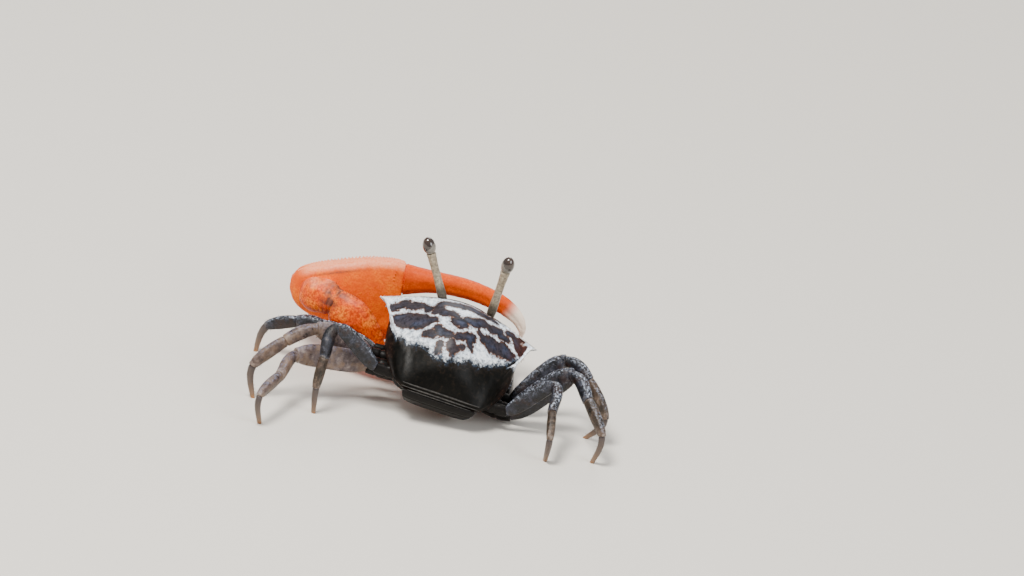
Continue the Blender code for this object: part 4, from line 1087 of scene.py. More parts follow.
def build_rims():
    """Raised pale line round the front margin and back along both ridges, and grey rear rims."""
    parts = []
    for sign, length in ((1, 0.5), (-1, 0.42)):
        path = []
        for i in range(20):
            share = 0.005 + length * i / 19
            row = smooth_key(CARAPACE_SECTIONS, share)
            x, z = rounded_outline(row, 0.497, share)
            path.append(in_body(sign * (x - 0.03), carapace_y(row, x, z), z + 0.02))
        parts.append(rod(path, (0.07, 0.1, 0.09, 0.08, 0.07, 0.05, 0.04, 0.03, 0.02), 8, 90))
    for sign in (1, -1):
        path = [margin_point(sign * (4.3 + 5.5 * i / 15)) for i in range(16)]
        radii = (0.05, 0.1, 0.11, 0.11, 0.1, 0.08)
        parts.append(rod(path, radii, 8, 70, lambda t: 0.02 * math.sin(t * 150)))
    piece("carapace_pale_rim", joined(parts), "rim", "carapace_shell")
    path = [margin_point(-2.4 + 4.8 * i / 9) for i in range(10)]
    parts = [rod(path, (0.06, 0.1, 0.1, 0.06), 8, 50)]
    for raised, back, radius in ((0.02, 0.0, 0.1), (-0.42, 0.12, 0.09), (-0.8, 0.14, 0.08)):
        path = []
        for i in range(17):
            x = 4.9 * (2 * i / 16 - 1)
            path.append(in_body(x, carapace_y(REAR, x, 0.0) + back, back_height(REAR, x) + raised))
        parts.append(rod(path, (0.4 * radius, radius, radius, radius, 0.4 * radius), 8, 60))
    piece("carapace_grey_rim", joined(parts), "rim_grey", "carapace_shell")


def build_orbit_grains():
    """Rounded grains along the lower rim of both orbits."""
    bm = bmesh.new()
    bm.verts.layers.float.new("along")
    turn = BODY.to_3x3()
    count = 24
    for sign in (1, -1):
        for i in range(count):
            t = i / (count - 1)
            x = ORBIT_INNER + 0.7 + (ORBIT_OUTER - ORBIT_INNER - 0.9) * t
            drop = ORBIT_DROP * (1 - 0.25 * t) + ORBIT_RADIUS * (1 - 0.35 * t) + 0.12
            z = back_height(FRONT, x) - drop
            size = 0.17 * (1 - 0.3 * t) * rng.uniform(0.85, 1.1)
            half = ((size, 0, 0), (0, 1.1 * size, 0), (0, 0, size))
            axes = [turn @ (Vector(axis) * MM) for axis in half]
            ball(bm, in_body(sign * x, carapace_y(FRONT, x, z) - 0.02, z), axes, 8, 6)
    piece("orbit_grains", bm, "rim", "carapace_shell")


# Eyes and feelers


def stalk_relief(t, angle):
    """Fine wrinkles, a ring low on the stalk and one below the eye."""
    lift = 0.03 * noise.noise(Vector((angle, t * 9, 2.0)))
    return lift - 0.05 * hump(t, 0.16, 0.03) - 0.04 * hump(t, 0.93, 0.02)


def build_eyes():
    for side, sign in SIDES.items():
        start, foot, along = stalk_line(side)
        top = foot + STALK_REACH[side] * MM
        keys = [(radius, radius, radius) for radius in STALK_RADII]
        ends = (start, top + along * 0.1 * MM)
        stem = Limb(ends, (along, along), (LEFTWARD, LEFTWARD), keys, (1.0, 1.0), 2.0)
        stalk = limb_skin(stem, 20, 60, stalk_relief, 0.05, 0.1)
        piece(f"eyestalk_{side}_skin", stalk, "stalk", "eyestalk", f"eyestalk_{side}", levels=1)

        centre = top + along * (0.3 - EYE_SEAT * EYE_HALF) * MM
        turn = UP.rotation_difference(along).to_matrix()
        outward = Vector((sign, 0.25, 0.55)).normalized()
        facing = (UP * 0.8 + outward * 0.5).normalized()

        def place(t, angle):
            height = math.cos(t * math.pi)
            width = math.sin(t * math.pi) * (1.0 - 0.06 * height)
            way = Vector((math.cos(angle) * width, math.sin(angle) * width, height))
            # the cornea covers the upper and outer part, and stands a little proud
            cornea = 0.48 + 0.36 * way.dot(facing)
            local = Vector((way.x * EYE_RADIUS, way.y * EYE_RADIUS, way.z * EYE_HALF))
            local *= 0.97 + 0.03 * step_up(0.44, 0.5, cornea)
            return centre + turn @ (local * MM), cornea

        eye = skin(28, 24, place)
        piece(f"eye_{side}_cornea", eye, "eye", "cornea", f"eye_{side}", levels=1)


def build_feelers():
    """Outer feelers, ringed and tapered, and small inner ones folded beside the lobe."""
    for side, sign in SIDES.items():
        outer = [in_body(sign * x, y, z) for x, y, z in FEELER_PATH]
        inner = [in_body(sign * x, y, z) for x, y, z in INNER_FEELER_PATH]
        parts = [
            rod(outer, (0.34, 0.4, 0.27, 0.2, 0.14, 0.08, 0.05), 10, 110,
                lambda t: 0.022 * math.sin(t * 130) * step_up(0.3, 0.4, t)),
            rod(inner, (0.24, 0.22, 0.13, 0.06), 8, 40),
        ]
        piece(f"antenna_{side}_skin", joined(parts), "stalk", "eyestalk", f"antenna_{side}")


# Walking legs


def joint_side(direction):
    """Level way across a limb."""
    level = Vector((direction.x, direction.y, 0.0))
    return UP.cross(level).normalized()


def halfway(first, second):
    """Way that halves the bend between two runs, for both of their ends at a joint."""
    return (first.normalized() + second.normalized()).normalized()


def leg_joints(side, number):
    """Hip, knee, wrist, ankle and toe of a walking leg, its toe set on the ground."""
    sign = SIDES[side]
    out, rise, turn, carpus_drop, dactyl_drop = (math.radians(a) for a in LEG_ANGLES[side][number])
    merus, carpus, propodus, dactyl = (length * MM for length in LEG_LENGTHS[number])
    hip = HIPS[number] * MM
    hip.x *= sign

    def stride(plan, climb, length):
        level = math.cos(climb)
        way = Vector((sign * math.cos(plan) * level, math.sin(plan) * level, math.sin(climb)))
        return way * length

    joints = [BODY @ hip]
    joints.append(joints[-1] + stride(out, rise, merus))
    joints.append(joints[-1] + stride(turn, -carpus_drop, carpus))
    fall = (joints[-1].z - dactyl * math.sin(dactyl_drop)) / propodus
    joints.append(joints[-1] + stride(turn, -math.asin(fall), propodus))
    joints.append(joints[-1] + stride(turn, -dactyl_drop, dactyl))
    return joints


def leg_root(side, number):
    """Place in the thorax from which a leg's short first joints run."""
    root = HIPS[number] + LEG_ROOT
    return in_body(SIDES[side] * root.x, root.y, root.z)


def leg_keys(number):
    """Half thickness, upper and lower half height of each piece, from joint to joint."""
    tall = MERUS_HALF_HEIGHTS[number]
    thick = 0.45 * tall
    merus = (
        (0.8 * thick, 0.62 * tall, 0.62 * tall),
        (thick, 0.92 * tall, 0.95 * tall),
        (1.05 * thick, 1.0 * tall, 1.0 * tall),
        (thick, 0.95 * tall, 0.9 * tall),
        (0.9 * thick, 0.7 * tall, 0.62 * tall),
    )
    carpus = ((0.62, 0.72, 0.72), (0.66, 0.92, 0.84), (0.6, 0.82, 0.78))
    propodus = ((0.52, 0.74, 0.72), (0.55, 0.86, 0.8), (0.45, 0.62, 0.6))
    foot = FOOT_RADIUS
    dactyl = ((0.4, 0.5, 0.48), (0.36, 0.42, 0.4), (0.31, 0.34, 0.32), (foot, foot, foot))
    return merus, carpus, propodus, dactyl


def merus_relief(t, angle):
    """Beaded upper edge, two lower edges, a hollow along each face and a ring before the knee."""
    lift = 0.10 * crest(angle, 90, 15) * (1.0 + 0.45 * math.sin(t * 75)) * hump(t, 0.5, 0.42)
    lift += 0.06 * (crest(angle, -62, 14) + crest(angle, -118, 14))
    lift -= 0.07 * (crest(angle, 25, 20) + crest(angle, 155, 20)) * hump(t, 0.5, 0.4)
    return lift - 0.10 * hump(t, 0.93, 0.025) + 0.02 * noise.noise(Vector((t * 14, angle * 2, 1.0)))


def carpus_relief(t, angle):
    """Two upper edges, and a ring after the knee."""
    lift = 0.07 * (crest(angle, 55, 14) + crest(angle, 125, 14)) * hump(t, 0.55, 0.45)
    return lift - 0.05 * hump(t, 0.1, 0.04) + 0.02 * noise.noise(Vector((t * 8, angle * 2, 4.0)))


def propodus_relief(t, angle):
    """Four edges, and a ring before the toe."""
    edges = sum(crest(angle, degrees, 13) for degrees in (50, 130, -50, -130))
    lift = 0.05 * edges * hump(t, 0.5, 0.45)
    return lift - 0.05 * hump(t, 0.92, 0.03) + 0.02 * noise.noise(Vector((t * 9, angle * 2, 6.0)))


def toe_relief(t, angle):
    """Four blunt edges that fade towards the tip."""
    return 0.035 * math.cos(4 * angle) * (1 - t) - 0.01


LEG_RELIEFS = (merus_relief, carpus_relief, propodus_relief, toe_relief)
LEG_ROWS = (34, 28, 28, 28)
# Finishes of a leg's pieces, from the merus to the dactyl.
LEG_FINISHES = {
    ("left", 0): ("leg_dark", "leg_dark", "leg_dark", "toe"),
    ("left", 1): ("leg_dusky", "leg_brown", "leg_brown", "toe"),
    ("left", 2): ("leg_dusky", "leg_brown", "leg_brown", "toe"),
}
OTHER_LEG_FINISHES = ("leg_dark", "leg_dark", "leg_lower", "toe")
# Rows of hairs: number, reach along the piece, angle round it and its spread, length.
MERUS_HAIRS = ((12, (0.3, 0.95), -90, 14, 0.26), (6, (0.5, 0.95), 90, 8, 0.2))
LOWER_HAIRS = ((9, (0.1, 0.95), 90, 16, 0.24), (12, (0.05, 0.95), -90, 20, 0.3))


def joint_skin(bm, joint, way, side, half, reach):
    """Soft skin that fills a joint, of a half thickness and half height, added to a mesh."""
    upward = way.cross(side).normalized()
    across = upward.cross(way).normalized()
    thick, tall = half
    ball(bm, joint, (across * thick * MM, upward * tall * MM, way * reach * MM), 16, 10)


def build_leg(side, number):
    joints = leg_joints(side, number)
    foot = joints[-1] - joints[-2]
    joints[-1] = joints[-1] + foot.normalized() * FOOT_OVERRUN * MM
    runs = [b - a for a, b in zip(joints, joints[1:])]
    ways = [halfway(joints[0] - leg_root(side, number), runs[0])]
    ways += [halfway(a, b) for a, b in zip(runs, runs[1:])]
    ways.append((runs[-1].normalized() - 0.25 * UP).normalized())
    sides = [joint_side(run) for run in runs]
    across = [sides[0], sides[0].lerp(sides[1], 0.5), sides[1], sides[1], sides[1]]
    finishes = LEG_FINISHES.get((side, number), OTHER_LEG_FINISHES)
    skins = bmesh.new()
    hairs = bmesh.new()
    for i, (name, keys) in enumerate(zip(LEG_PIECES, leg_keys(number))):
        ends = (joints[i] + ways[i] * SEAM / 2 * MM, joints[i + 1] - ways[i + 1] * SEAM / 2 * MM)
        limb = Limb(ends, ways[i:i + 2], across[i:i + 2], keys, LEG_BENDS[i], LEG_SQUARENESS)
        shell = limb_skin(limb, 32, LEG_ROWS[i], LEG_RELIEFS[i], 0.09, 0.05)
        slot = "leg_shell"
        if name == "dactyl":
            slot = "toe_shell"
            # the toe is cut flat where it stands on the ground
            for vert in shell.verts:
                vert.co.z = max(vert.co.z, 0.0)
        shell.normal_update()
        # faces that point up, where the leg's finish paints its highlight
        mark_all(shell, "upper", lambda vert: step_up(0.15, 0.9, vert.normal.z))
        node_name = f"leg_{side}_{number + 1}_{name}"
        piece(f"{node_name}_shell", shell, finishes[i], slot, node_name, levels=1)
        thick, high, low = keys[0]
        half = (0.86 * thick, 0.84 * (high + low) / 2)
        joint_skin(skins, joints[i], ways[i], across[i], half, 0.36)
        for row in MERUS_HAIRS if name == "merus" else LOWER_HAIRS:
            bristle_row(hairs, limb, *row)
    soft = "joint" if "leg_brown" in finishes else "joint_dark"
    piece(f"leg_{side}_{number + 1}_joint_skin", skins, soft, "leg_shell")
    piece(f"leg_{side}_{number + 1}_bristles", hairs, "bristle", "leg_shell")


# Thorax, tail and mouth


def limb_root(root, hip, way, size):
    """Short first joints of a limb, of a half thickness and half height, from its root."""
    run = hip - root
    side = joint_side(run)
    thick, tall = size
    keys = ((thick, tall, tall), (1.1 * thick, 1.1 * tall, 1.1 * tall), (thick, tall, tall))
    ends = (root, hip - way * SEAM / 2 * MM)
    return Limb(ends, (run.normalized(), way), (side, side), keys, (0.5, 0.6), LEG_SQUARENESS)


def claw_root(side):
    return in_body(*CLAW_ROOTS[side])


def claw_shoulder(side):
    """Way of a claw's arm at its shoulder."""
    joint, elbow = (BIG_ARM_ROOT, BIG_ELBOW) if side == "left" else SMALL_ARM[:2]
    return halfway(joint - claw_root(side), elbow - joint)


def build_thorax():
    """Breast plates, in one mesh with the short first joints of all limbs."""

    def place(t, angle):
        share, girth, push = rounded_ends(t, 0.06, 0.1)
        y, half, floor = smooth_key(THORAX_SECTIONS, share)
        c = math.cos(angle)
        s = math.sin(angle)
        x = rounded_power(c, 3.4) * half * girth
        middle = (floor + THORAX_TOP) / 2
        z = middle + rounded_power(s, 3.4) * (THORAX_TOP - floor) / 2 * girth
        if s < 0:
            # seams between the breast plates, bowed towards the sides, and a groove for the tail
            seam = (share * 6.0 + 0.12 * (x / 6) ** 2) % 1.0
            z += 0.16 * hump(min(seam, 1 - seam), 0.0, 0.09) * -s
            z += 0.14 * hump(x, 0.0, 0.16) * -s
        return in_body(x, y + push, z), share

    roots = []
    for side in SIDES:
        for number, tall in enumerate(MERUS_HALF_HEIGHTS):
            hip, knee = leg_joints(side, number)[:2]
            root = leg_root(side, number)
            roots.append((root, hip, halfway(hip - root, knee - hip), (0.5 * tall, 0.75 * tall)))
        shoulder = BIG_ARM_ROOT if side == "left" else SMALL_ARM[0]
        roots.append((claw_root(side), shoulder, claw_shoulder(side), CLAW_BASES[side]))
    parts = [skin(96, 90, place)]
    for root in roots:
        # a ring parts the two short joints
        ringed = limb_skin(
            limb_root(*root), 24, 30, lambda t, angle: -0.12 * hump(t, 0.62, 0.035), 0.1, 0.05)
        parts.append(ringed)
    piece("thorax_shell", joined(parts), "underside", "underside_shell", "thorax")


def build_tail():
    """Narrow tail of a male, in overlapping rings, folded under the thorax."""
    rings = 7

    def place(t, angle):
        share, girth, _ = rounded_ends(t, 0.05, 0.0)
        y, z, half = smooth_key(TAIL_PATH, share)
        y2, z2, _ = smooth_key(TAIL_PATH, min(share + 0.02, 1.0))
        y1, z1, _ = smooth_key(TAIL_PATH, max(share - 0.02, 0.0))
        along = Vector((0.0, y2 - y1, z2 - z1)).normalized()
        outward = LEFTWARD.cross(along)
        ring = (share * rings) % 1.0
        seam = min(ring, 1 - ring)
        deep = 0.33 - 0.10 * hump(seam, 0.0, 0.07) + 0.03 * ring
        half *= 1.0 - 0.05 * hump(seam, 0.0, 0.08)
        a = rounded_power(math.cos(angle), 3.2) * half * girth
        b = rounded_power(math.sin(angle), 3.2) * deep * girth
        spot = Vector((0.0, y, z)) + LEFTWARD * a + outward * b
        return in_body(*spot), share

    piece("pleon_shell", skin(72, 130, place), "underside", "underside_shell", "pleon")


def build_mouth():
    """Outer mouth parts: a large lower plate, a smaller upper one and a short feeler, per side."""
    lean = Matrix.Rotation(math.atan(FACE_SLOPE) * 1.3, 4, "X")
    for side, sign in SIDES.items():
        middle = Vector((sign * MOUTH_MIDDLE.x, MOUTH_MIDDLE.y, MOUTH_MIDDLE.z)) * MM
        home = BODY @ Matrix.Translation(middle) @ lean

        def plate(x, z, half_x, half_y, half_z):
            def place(t, angle):
                height = math.cos(t * math.pi)
                width = math.sin(t * math.pi)
                local = Vector((
                    rounded_power(math.cos(angle) * width, 2.9) * half_x,
                    math.sin(angle) * width * half_y,
                    rounded_power(height, 2.9) * half_z,
                ))
                # a groove runs down each plate near its inner edge
                if local.y < 0:
                    local.y += 0.12 * hump(sign * local.x, -0.35 * half_x, 0.14)
                local.x += x * sign
                local.z += z
                return home @ (local * MM), t

            return skin(36, 30, place)

        palp = [home @ (Vector((sign * x, y, z)) * MM) for x, y, z in PALP_PATH]
        parts = [
            plate(-0.15, -0.75, 1.62, 0.92, 1.25),
            plate(0.1, 1.2, 1.45, 0.85, 0.78),
            rod(palp, (0.2, 0.24, 0.17, 0.22, 0.16, 0.2, 0.1), 10, 50),
        ]
        name = f"maxilliped_{side}"
        piece(f"{name}_plates", joined(parts), "underside", "underside_shell", name)
        hairs = bmesh.new()
        turn = home.to_3x3()
        for i in range(46):
            root = home @ (Vector((sign * -1.62, -0.55, -1.7 + 3.5 * i / 45)) * MM)
            lean_in = -sign * rng.uniform(0.4, 1.2)
            way = (turn @ Vector((lean_in, -0.7, rng.uniform(-0.8, 0.1)))).normalized()
            bristle(hairs, root, way, rng.uniform(0.3, 0.5))
        piece(f"{name}_fringe", hairs, "bristle", "underside_shell")


# Claws


def claw_place(along, height, inward=0.0):
    """Place in the big claw's plane: distance from the heel, height, distance inwards."""
    return Vector((CLAW_HEEL - along, CLAW_PLANE + inward, height)) * MM


def finger_line(keys, share):
    """Way along a curved finger at a share of its length."""
    ahead = smooth_key(keys, min(share + 0.01, 1.0))
    behind = smooth_key(keys, max(share - 0.01, 0.0))
    return (claw_place(*ahead[:2]) - claw_place(*behind[:2])).normalized()


def finger_skin(keys, columns, rows, edge, slim=0.0):
    """Curved finger, rounder on its back than on its biting edge: 1 for up, -1 for down.

    Slim is the share of its height that the biting edge loses at a third of its length.
    """

    def place(t, angle):
        share, girth, push = rounded_ends(t, 0.05, 0.03 * MM)
        along, height, half, thick = smooth_key(keys, share)
        line = finger_line(keys, share)
        if share < 0.06:
            line = line.lerp(-LEFTWARD, 1 - share / 0.06).normalized()
        upward = line.cross(INWARD).normalized()
        c = rounded_power(math.cos(angle), 2.2)
        s = rounded_power(math.sin(angle), 2.2)
        biting = max(0.0, s * edge)
        b = s * half * (1.0 - slim * biting * hump(share, 0.36, 0.36))
        a = c * thick * (1 - 0.2 * biting**2)
        a += c * 0.05 * crest(angle, 90 * edge * 0.55, 16)
        # a shallow groove runs along each face
        a -= 0.07 * math.copysign(1.0, c) * hump(s, -0.15 * edge, 0.22) * min(1.0, half)
        spot = claw_place(along, height) + (INWARD * a + upward * b) * girth * MM
        return spot + line * push, share

    return skin(columns, rows, place)


def palm_skin():
    """Palm of the big claw, flatter on its inner face."""

    def place(t, angle):
        share, girth, push = rounded_ends(t, 0.05, 0.05)
        along, top, bottom, inner, outer = smooth_key(PALM_SECTIONS, share)
        c = math.cos(angle)
        s = math.sin(angle)
        inward = rounded_power(c, 3.4 if c > 0 else 2.2) * (inner if c > 0 else outer) * girth
        height = rounded_power(s, 2.4) * (top - bottom) / 2 * girth
        return claw_place(along + push, (top + bottom) / 2 + height, inward), share

    return skin(72, 70, place)


def palm_depth(spot):
    """Distance along the claw of a place, and its depth below the palm's upper edge."""
    along = CLAW_HEEL - spot.x / MM
    top = PALM_SECTIONS[-1][1]
    for (start, first, *_), (end, second, *_) in zip(PALM_SECTIONS, PALM_SECTIONS[1:]):
        if start <= along <= end:
            top = first + (second - first) * (along - start) / (end - start)
    return along, top - spot.z / MM


def teeth(keys, edge, lift, height_share):
    """Blunt teeth of uneven size along a biting edge, two of them larger.

    Lift is how far out they stand, as a share of the finger's half height.
    """
    bm = bmesh.new()
    spread = bm.verts.layers.float.new("along")
    count = 26
    for i in range(count):
        t = 0.13 + 0.74 * i / (count - 1)
        along, height, half, thick = smooth_key(keys, t)
        ahead = smooth_key(keys, t + 0.02)
        line = (claw_place(*ahead[:2]) - claw_place(along, height)).normalized()
        outward = Vector((line.z, 0.0, -line.x)) * edge
        size = rng.uniform(0.72, 0.95) * (1.0 - 0.25 * t)
        for big in BIG_TEETH:
            size *= 1.0 + 0.75 * hump(t, big, 0.018)
        centre = claw_place(along, height) + outward * half * lift * MM
        tall = 0.44 * size * height_share
        axes = (line * 0.26 * size * MM, INWARD * 0.24 * size * MM, outward * tall * MM)
        # a full row on the inner side, and every third tooth on the outer side
        for row in (1,) if i % 3 else (-1, 1):
            for vert in ball(bm, centre + INWARD * row * 0.14 * thick * MM, axes, 10, 8):
                vert[spread] = t
    return bm


def arm_relief(t, angle):
    """Beaded upper edge, short wrinkles round the lower face, and low swellings."""
    middle = hump(t, 0.55, 0.4)
    lift = 0.10 * crest(angle, 92, 13) * (1 + 0.5 * math.sin(t * 60)) * middle
    lift += 0.05 * math.sin(t * 70 + 2.2 * math.sin(angle * 2)) * crest(angle, -60, 70) * middle
    swelling = noise.noise(Vector((t * 6, math.cos(angle) * 2, math.sin(angle) * 2)))
    return lift + 0.05 * swelling


def wrist_relief(t, angle):
    """Low swellings, and rings and a fold next to the elbow."""
    swelling = noise.noise(Vector((t * 3.5, math.cos(angle) * 1.4, math.sin(angle) * 1.4)))
    lift = 0.16 * swelling + 0.08 * math.sin(t * 52) * (1 - step_up(0.2, 0.45, t))
    return lift - 0.16 * hump(t, 0.12, 0.04) * crest(angle, 60, 90)


def paint_arm(shell, highlight_strength, stained):
    """Painted highlight where a shell faces up, brown where stained(share along it) says."""
    shell.normal_update()
    along = shell.verts.layers.float["along"]
    pale = shell.verts.layers.float.new("pale")
    stain = shell.verts.layers.float.new("stain")
    for vert in shell.verts:
        patch = 0.5 + noise.noise(vert.co / (0.9 * MM))
        # painted highlight on the faces that point up, stored as "pale"
        vert[pale] = highlight_strength * step_up(0.1, 1.0, vert.normal.z) * patch
        seen = step_up(-0.2, 0.5, vert.normal.z + vert.normal.y)
        vert[stain] = stained(vert[along]) * seen * patch


def palm_band(vert):
    """Pale band along the palm's upper edge, partly its own colour and partly a painted highlight,
    with an uneven lower limit.
    """
    along, below = palm_depth(vert.co)
    band = 1 - step_up(0.1, 1.0, below + 0.2 * noise.noise(vert.co / (0.8 * MM)))
    return 0.8 * band * step_up(0.3, 2.2, along) * (1 - step_up(13.2, 14.6, along))


def palm_streak(vert):
    """Dusky line below the pale band, over the first half of the palm."""
    along, below = palm_depth(vert.co)
    return 0.9 * hump(below, 0.95, 0.16) * hump(along, 5.5, 3.2)


def outer_face(spot, normal):
    return step_up(0.25, -0.35, normal.y) * step_up(26.0, 18.0, CLAW_HEEL - spot.x / MM)


def inner_face(spot, normal):
    return 0.35 * step_up(-0.2, 0.3, normal.y)


def arm_keys(half, sections):
    """Half thickness, upper and lower half height of an arm piece's sections, from shares."""
    tall, thick = half
    return [(a * thick, b * tall, c * tall) for a, b, c in sections]


def build_big_claw():
    shoulder_way = claw_shoulder("left")
    upper = BIG_ELBOW - BIG_ARM_ROOT
    elbow_way = halfway(upper, BIG_WRIST - BIG_ELBOW)
    across = (joint_side(upper), joint_side(elbow_way), joint_side(BIG_WRIST_FACING))

    keys = arm_keys(BIG_MERUS_HALF, BIG_MERUS_SECTIONS)
    ends = (BIG_ARM_ROOT + shoulder_way * SEAM / 2 * MM, BIG_ELBOW - elbow_way * SEAM / 2 * MM)
    merus = Limb(ends, (shoulder_way, elbow_way), across[:2], keys, (0.5, 0.4), 2.2)
    arm = limb_skin(merus, 56, 60, arm_relief, 0.08, 0.25)
    grain(arm, 0.42, 0.05)
    # a faint painted highlight on the merus's upper faces, and a brown stain by the elbow
    paint_arm(arm, 0.25, lambda t: 1.3 * step_up(0.86, 0.98, t))
    piece("big_claw_merus_shell", arm, "claw_arm", "big_claw_shell", "big_claw_merus", levels=1)

    keys = arm_keys(BIG_CARPUS_HALF, BIG_CARPUS_SECTIONS)
    ends = (BIG_ELBOW + elbow_way * SEAM / 2 * MM, BIG_WRIST)
    carpus = Limb(ends, (elbow_way, BIG_WRIST_FACING), across[1:], keys, (0.9, 0.8), 2.1)
    wrist = limb_skin(carpus, 56, 56, wrist_relief, 0.1, 0.3)
    grain(wrist, 0.36, 0.08)
    # a stronger painted highlight on the carpus's upper faces, and a brown stain by the elbow
    paint_arm(wrist, 0.55, lambda t: 2.0 * (1 - step_up(0.12, 0.34, t)))
    piece("big_claw_carpus_shell", wrist, "claw_arm", "big_claw_shell", "big_claw_carpus", levels=1)

    palm = fused([palm_skin(), finger_skin(FIXED_FINGER, 40, 70, 1)], 0.11, 5)
    grain(palm, 0.46, 0.09, outer_face)
    grain(palm, 0.33, 0.06, inner_face)
    # pale band along the upper edge, partly its own colour and partly painted highlight
    mark_all(palm, "pale", palm_band)
    mark_all(palm, "stain", palm_streak)
    piece("big_claw_palm_shell", palm, "claw", "big_claw_shell", "big_claw_palm")

    root = tuple(a + b for a, b in zip(MOVING_FINGER[0], DACTYL_ROOT_GROWTH))
    dactyl = finger_skin((root,) + MOVING_FINGER[1:], 44, 110, -1, 0.26)
    grain(dactyl, 0.4, 0.035)
    piece("big_claw_dactyl_shell", dactyl, "claw_finger", "big_claw_shell", "big_claw_dactyl",
          levels=1)

    fixed_teeth = teeth(FIXED_FINGER, 1, 0.97, 1.0)
    piece("big_claw_palm_teeth", fixed_teeth, "tooth", "big_claw_shell")
    moving_teeth = teeth(MOVING_FINGER, -1, 0.75, 0.3)
    piece("big_claw_dactyl_teeth", moving_teeth, "claw_finger", "big_claw_shell")
    build_tubercles()

    skins = bmesh.new()
    joint_skin(skins, BIG_ARM_ROOT, shoulder_way, across[0], (0.75, 0.85), 0.5)
    joint_skin(skins, BIG_ELBOW, elbow_way, across[1], (1.15, 1.42), 0.55)
    piece("big_claw_joint_skin", skins, "joint", "big_claw_shell")
    hinge = bmesh.new()
    axes = (LEFTWARD * 0.5 * MM, INWARD * 1.16 * MM, UP * 1.92 * MM)
    ball(hinge, claw_place(*HINGE_PLACE), axes, 28, 20)
    piece("big_claw_hinge", hinge, "claw_arm", "big_claw_shell")
    hairs = bmesh.new()
    bristle_row(hairs, merus, 34, (0.55, 1.0), 88, 8, 0.55)
    bristle_row(hairs, carpus, 16, (0.0, 0.3), 70, 20, 0.45)
    piece("big_claw_bristles", hairs, "bristle", "big_claw_shell")


def build_tubercles():
    """Rows of rounded tubercles: on the palm's upper edge and beside the moving finger's root."""
    bm = bmesh.new()

    def tubercle(centre, size):
        ball(bm, centre, (LEFTWARD * size * MM, INWARD * size * MM, UP * size * MM), 8, 6)

    for sunk, inward, count, size in TUBERCLE_ROWS:
        for i in range(count):
            t = 0.16 + 0.80 * i / (count - 1)
            along, top, _, inner, outer = smooth_key(PALM_SECTIONS, t)
            depth = inward * (inner if inward > 0 else outer)
            tubercle(claw_place(along, top - sunk - 0.05, depth), size * rng.uniform(0.8, 1.15))
    inner = smooth_key(PALM_SECTIONS, 0.95)[3]
    for i in range(15):
        centre = claw_place(12.75 + 0.3 * math.sin(i * 0.4), 6.6 + 6.3 * i / 14, inner - 0.03)
        tubercle(centre, 0.09 * rng.uniform(0.8, 1.1))
    # tubercles near the upper edge share the pale band, partly painted highlight
    mark_all(bm, "pale", lambda vert: 0.85 * (1 - step_up(0.2, 0.9, palm_depth(vert.co)[1])))
    piece("big_claw_tubercles", bm, "claw", "big_claw_shell")


SMALL_ARM_KEYS = {
    "merus": ((0.5, 0.6, 0.6), (0.62, 0.8, 0.8), (0.55, 0.68, 0.68)),
    "carpus": ((0.5, 0.6, 0.6), (0.6, 0.75, 0.75), (0.5, 0.6, 0.6)),
    "palm": arm_keys(SMALL_PALM_HALF, ((0.8, 0.62, 0.62), (1.0, 0.95, 0.95), (0.85, 1.0, 1.0))),
}


def small_arm_relief(t, angle):
    return 0.03 * noise.noise(Vector((t * 7, angle * 2, 9.0)))


def build_small_claw():
    runs = [b - a for a, b in zip(SMALL_ARM, SMALL_ARM[1:])]
    ways = [claw_shoulder("right")] + [halfway(a, b) for a, b in zip(runs, runs[1:])]
    ways.append(runs[-1].normalized())
    sides = [joint_side(run) for run in runs]
    skins = bmesh.new()
    hairs = bmesh.new()
    shells = {}
    for i, (name, keys) in enumerate(SMALL_ARM_KEYS.items()):
        ends = (SMALL_ARM[i] + ways[i] * SEAM / 2 * MM,
                SMALL_ARM[i + 1] - ways[i + 1] * SEAM / 2 * MM)
        limb = Limb(ends, ways[i:i + 2], sides[i:i + 2], keys, (0.5, 0.5), LEG_SQUARENESS)
        shells[name] = limb_skin(limb, 28, 28, small_arm_relief, 0.1, 0.08)
        half = (0.86 * keys[0][0], 0.84 * keys[0][1])
        joint_skin(skins, SMALL_ARM[i], ways[i], sides[i], half, 0.3)
        bristle_row(hairs, limb, 16, (0.2, 0.95), -90, 25, 0.35)
    keys = arm_keys(SMALL_FINGER_HALF, ((1.0, 1.0, 1.0), (0.9, 0.95, 0.95), (0.5, 0.45, 0.45)))
    wrist, tip = SMALL_ARM[3:]
    line = ways[3]
    upward = line.cross(sides[3]).normalized()
    apart, close = SMALL_FINGER_SPREAD
    # the fixed finger is sunk into the palm
    for name, sign, gap in (("fixed", -1, -0.6), ("dactyl", 1, SEAM / 2)):
        start = wrist + upward * sign * apart * MM + line * gap * MM
        ends = (start, tip + upward * sign * close * MM)
        finger = Limb(ends, (line, line), (sides[3], sides[3]), keys, (1.0, 1.0), LEG_SQUARENESS)
        shells[name] = limb_skin(finger, 24, 30, lambda t, angle: 0.0, 0.1, 0.05)
        bristle_row(hairs, finger, 26, (0.35, 1.0), -90 * sign, 40, 0.3)
    shells["palm"] = joined([shells["palm"], shells.pop("fixed")])
    for name, shell in shells.items():
        node_name = f"small_claw_{name}"
        piece(f"{node_name}_shell", shell, "small_claw", "small_claw_shell", node_name, levels=1)
    piece("small_claw_joint_skin", skins, "joint", "small_claw_shell")
    piece("small_claw_bristles", hairs, "bristle", "small_claw_shell")


# Camera, floor and light

PHOTO_SIZE = (1024, 576)
PIXELS_PER_MM = 8.25
BODY_CENTRE_PIXEL = (456, 343)  # where the point BODY_HEIGHT above the crab's origin shows
CAMERA_DISTANCE = 0.8
CAMERA_ELEVATION = math.radians(25.0)
CAMERA_ROLL = math.radians(10.0)
SENSOR = 36.0  # millimetres
CLIP = (0.05, 20.0)
FLOOR_HALF = 3.0
LIGHT_TARGET = Vector((0.0, 0.0, 0.008))
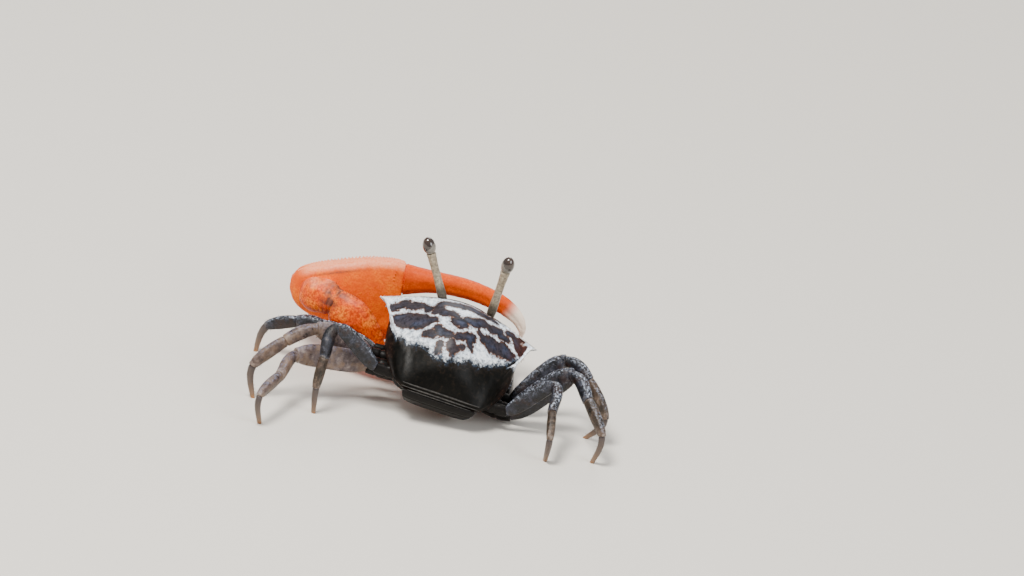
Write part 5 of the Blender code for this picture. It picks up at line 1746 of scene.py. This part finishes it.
# Name, place and size in metres, power in watts, tint.
LIGHTS = (
    ("key", (0.14, 0.16, 0.44), 0.16, 4.1, (1.0, 0.97, 0.92)),
    ("fill", (-0.36, 0.26, 0.26), 0.30, 1.5, (0.97, 0.98, 1.0)),
    ("front", (-0.05, -0.40, 0.32), 0.30, 1.0, (1.0, 0.98, 0.95)),
)
SKY_COLOUR = (0.95, 0.97, 1.0, 1.0)
SKY_STRENGTH = 0.5


def build_camera():
    """Camera behind the crab, looking along -Y and down, tipped as in the photograph."""
    data = bpy.data.cameras.new("camera")
    camera = bpy.data.objects.new("camera", data)
    bpy.context.scene.collection.objects.link(camera)
    bpy.context.scene.camera = camera
    width, height = PHOTO_SIZE
    data.sensor_width = SENSOR
    data.lens = PIXELS_PER_MM * CAMERA_DISTANCE / MM * SENSOR / width
    data.clip_start, data.clip_end = CLIP
    data.shift_x = (width / 2 - BODY_CENTRE_PIXEL[0]) / width
    data.shift_y = (BODY_CENTRE_PIXEL[1] - height / 2) / width
    back = Vector((0.0, math.cos(CAMERA_ELEVATION), math.sin(CAMERA_ELEVATION)))
    across = UP.cross(back).normalized()
    turn = Matrix((across, back.cross(across), back)).transposed()
    turn = turn @ Matrix.Rotation(CAMERA_ROLL, 3, "Z")
    target = SHIFT + UP * BODY_HEIGHT * MM
    camera.matrix_world = Matrix.Translation(target + back * CAMERA_DISTANCE) @ turn.to_4x4()


def add_light(name, place, size, power, tint):
    data = bpy.data.lights.new(name, "AREA")
    data.shape = "DISK"
    data.size = size
    data.energy = power
    data.color = tint
    light = bpy.data.objects.new(name, data)
    bpy.context.scene.collection.objects.link(light)
    light.location = place
    light.rotation_euler = (LIGHT_TARGET - Vector(place)).to_track_quat("-Z", "Y").to_euler()


def build_stage():
    bm = bmesh.new()
    bmesh.ops.create_grid(bm, x_segments=1, y_segments=1, size=FLOOR_HALF)
    mesh = bpy.data.meshes.new("floor")
    bm.to_mesh(mesh)
    bm.free()
    floor = bpy.data.objects.new("floor", mesh)
    bpy.context.scene.collection.objects.link(floor)
    mesh.materials.append(finish_start("matt_pale_floor", Roughness=0.9, Base_Color="D9D4CB")[0])
    world = bpy.data.worlds.new("studio")
    world.use_nodes = True
    feed(world.node_tree.nodes["Background"], {"Color": SKY_COLOUR, "Strength": SKY_STRENGTH})
    bpy.context.scene.world = world
    for light in LIGHTS:
        add_light(*light)


build_camera()
build_stage()
build_carapace()
build_rims()
build_orbit_grains()
build_eyes()
build_feelers()
build_thorax()
build_tail()
build_mouth()
build_big_claw()
build_small_claw()
for side_name in SIDES:
    for leg_number in range(len(HIPS)):
        build_leg(side_name, leg_number)
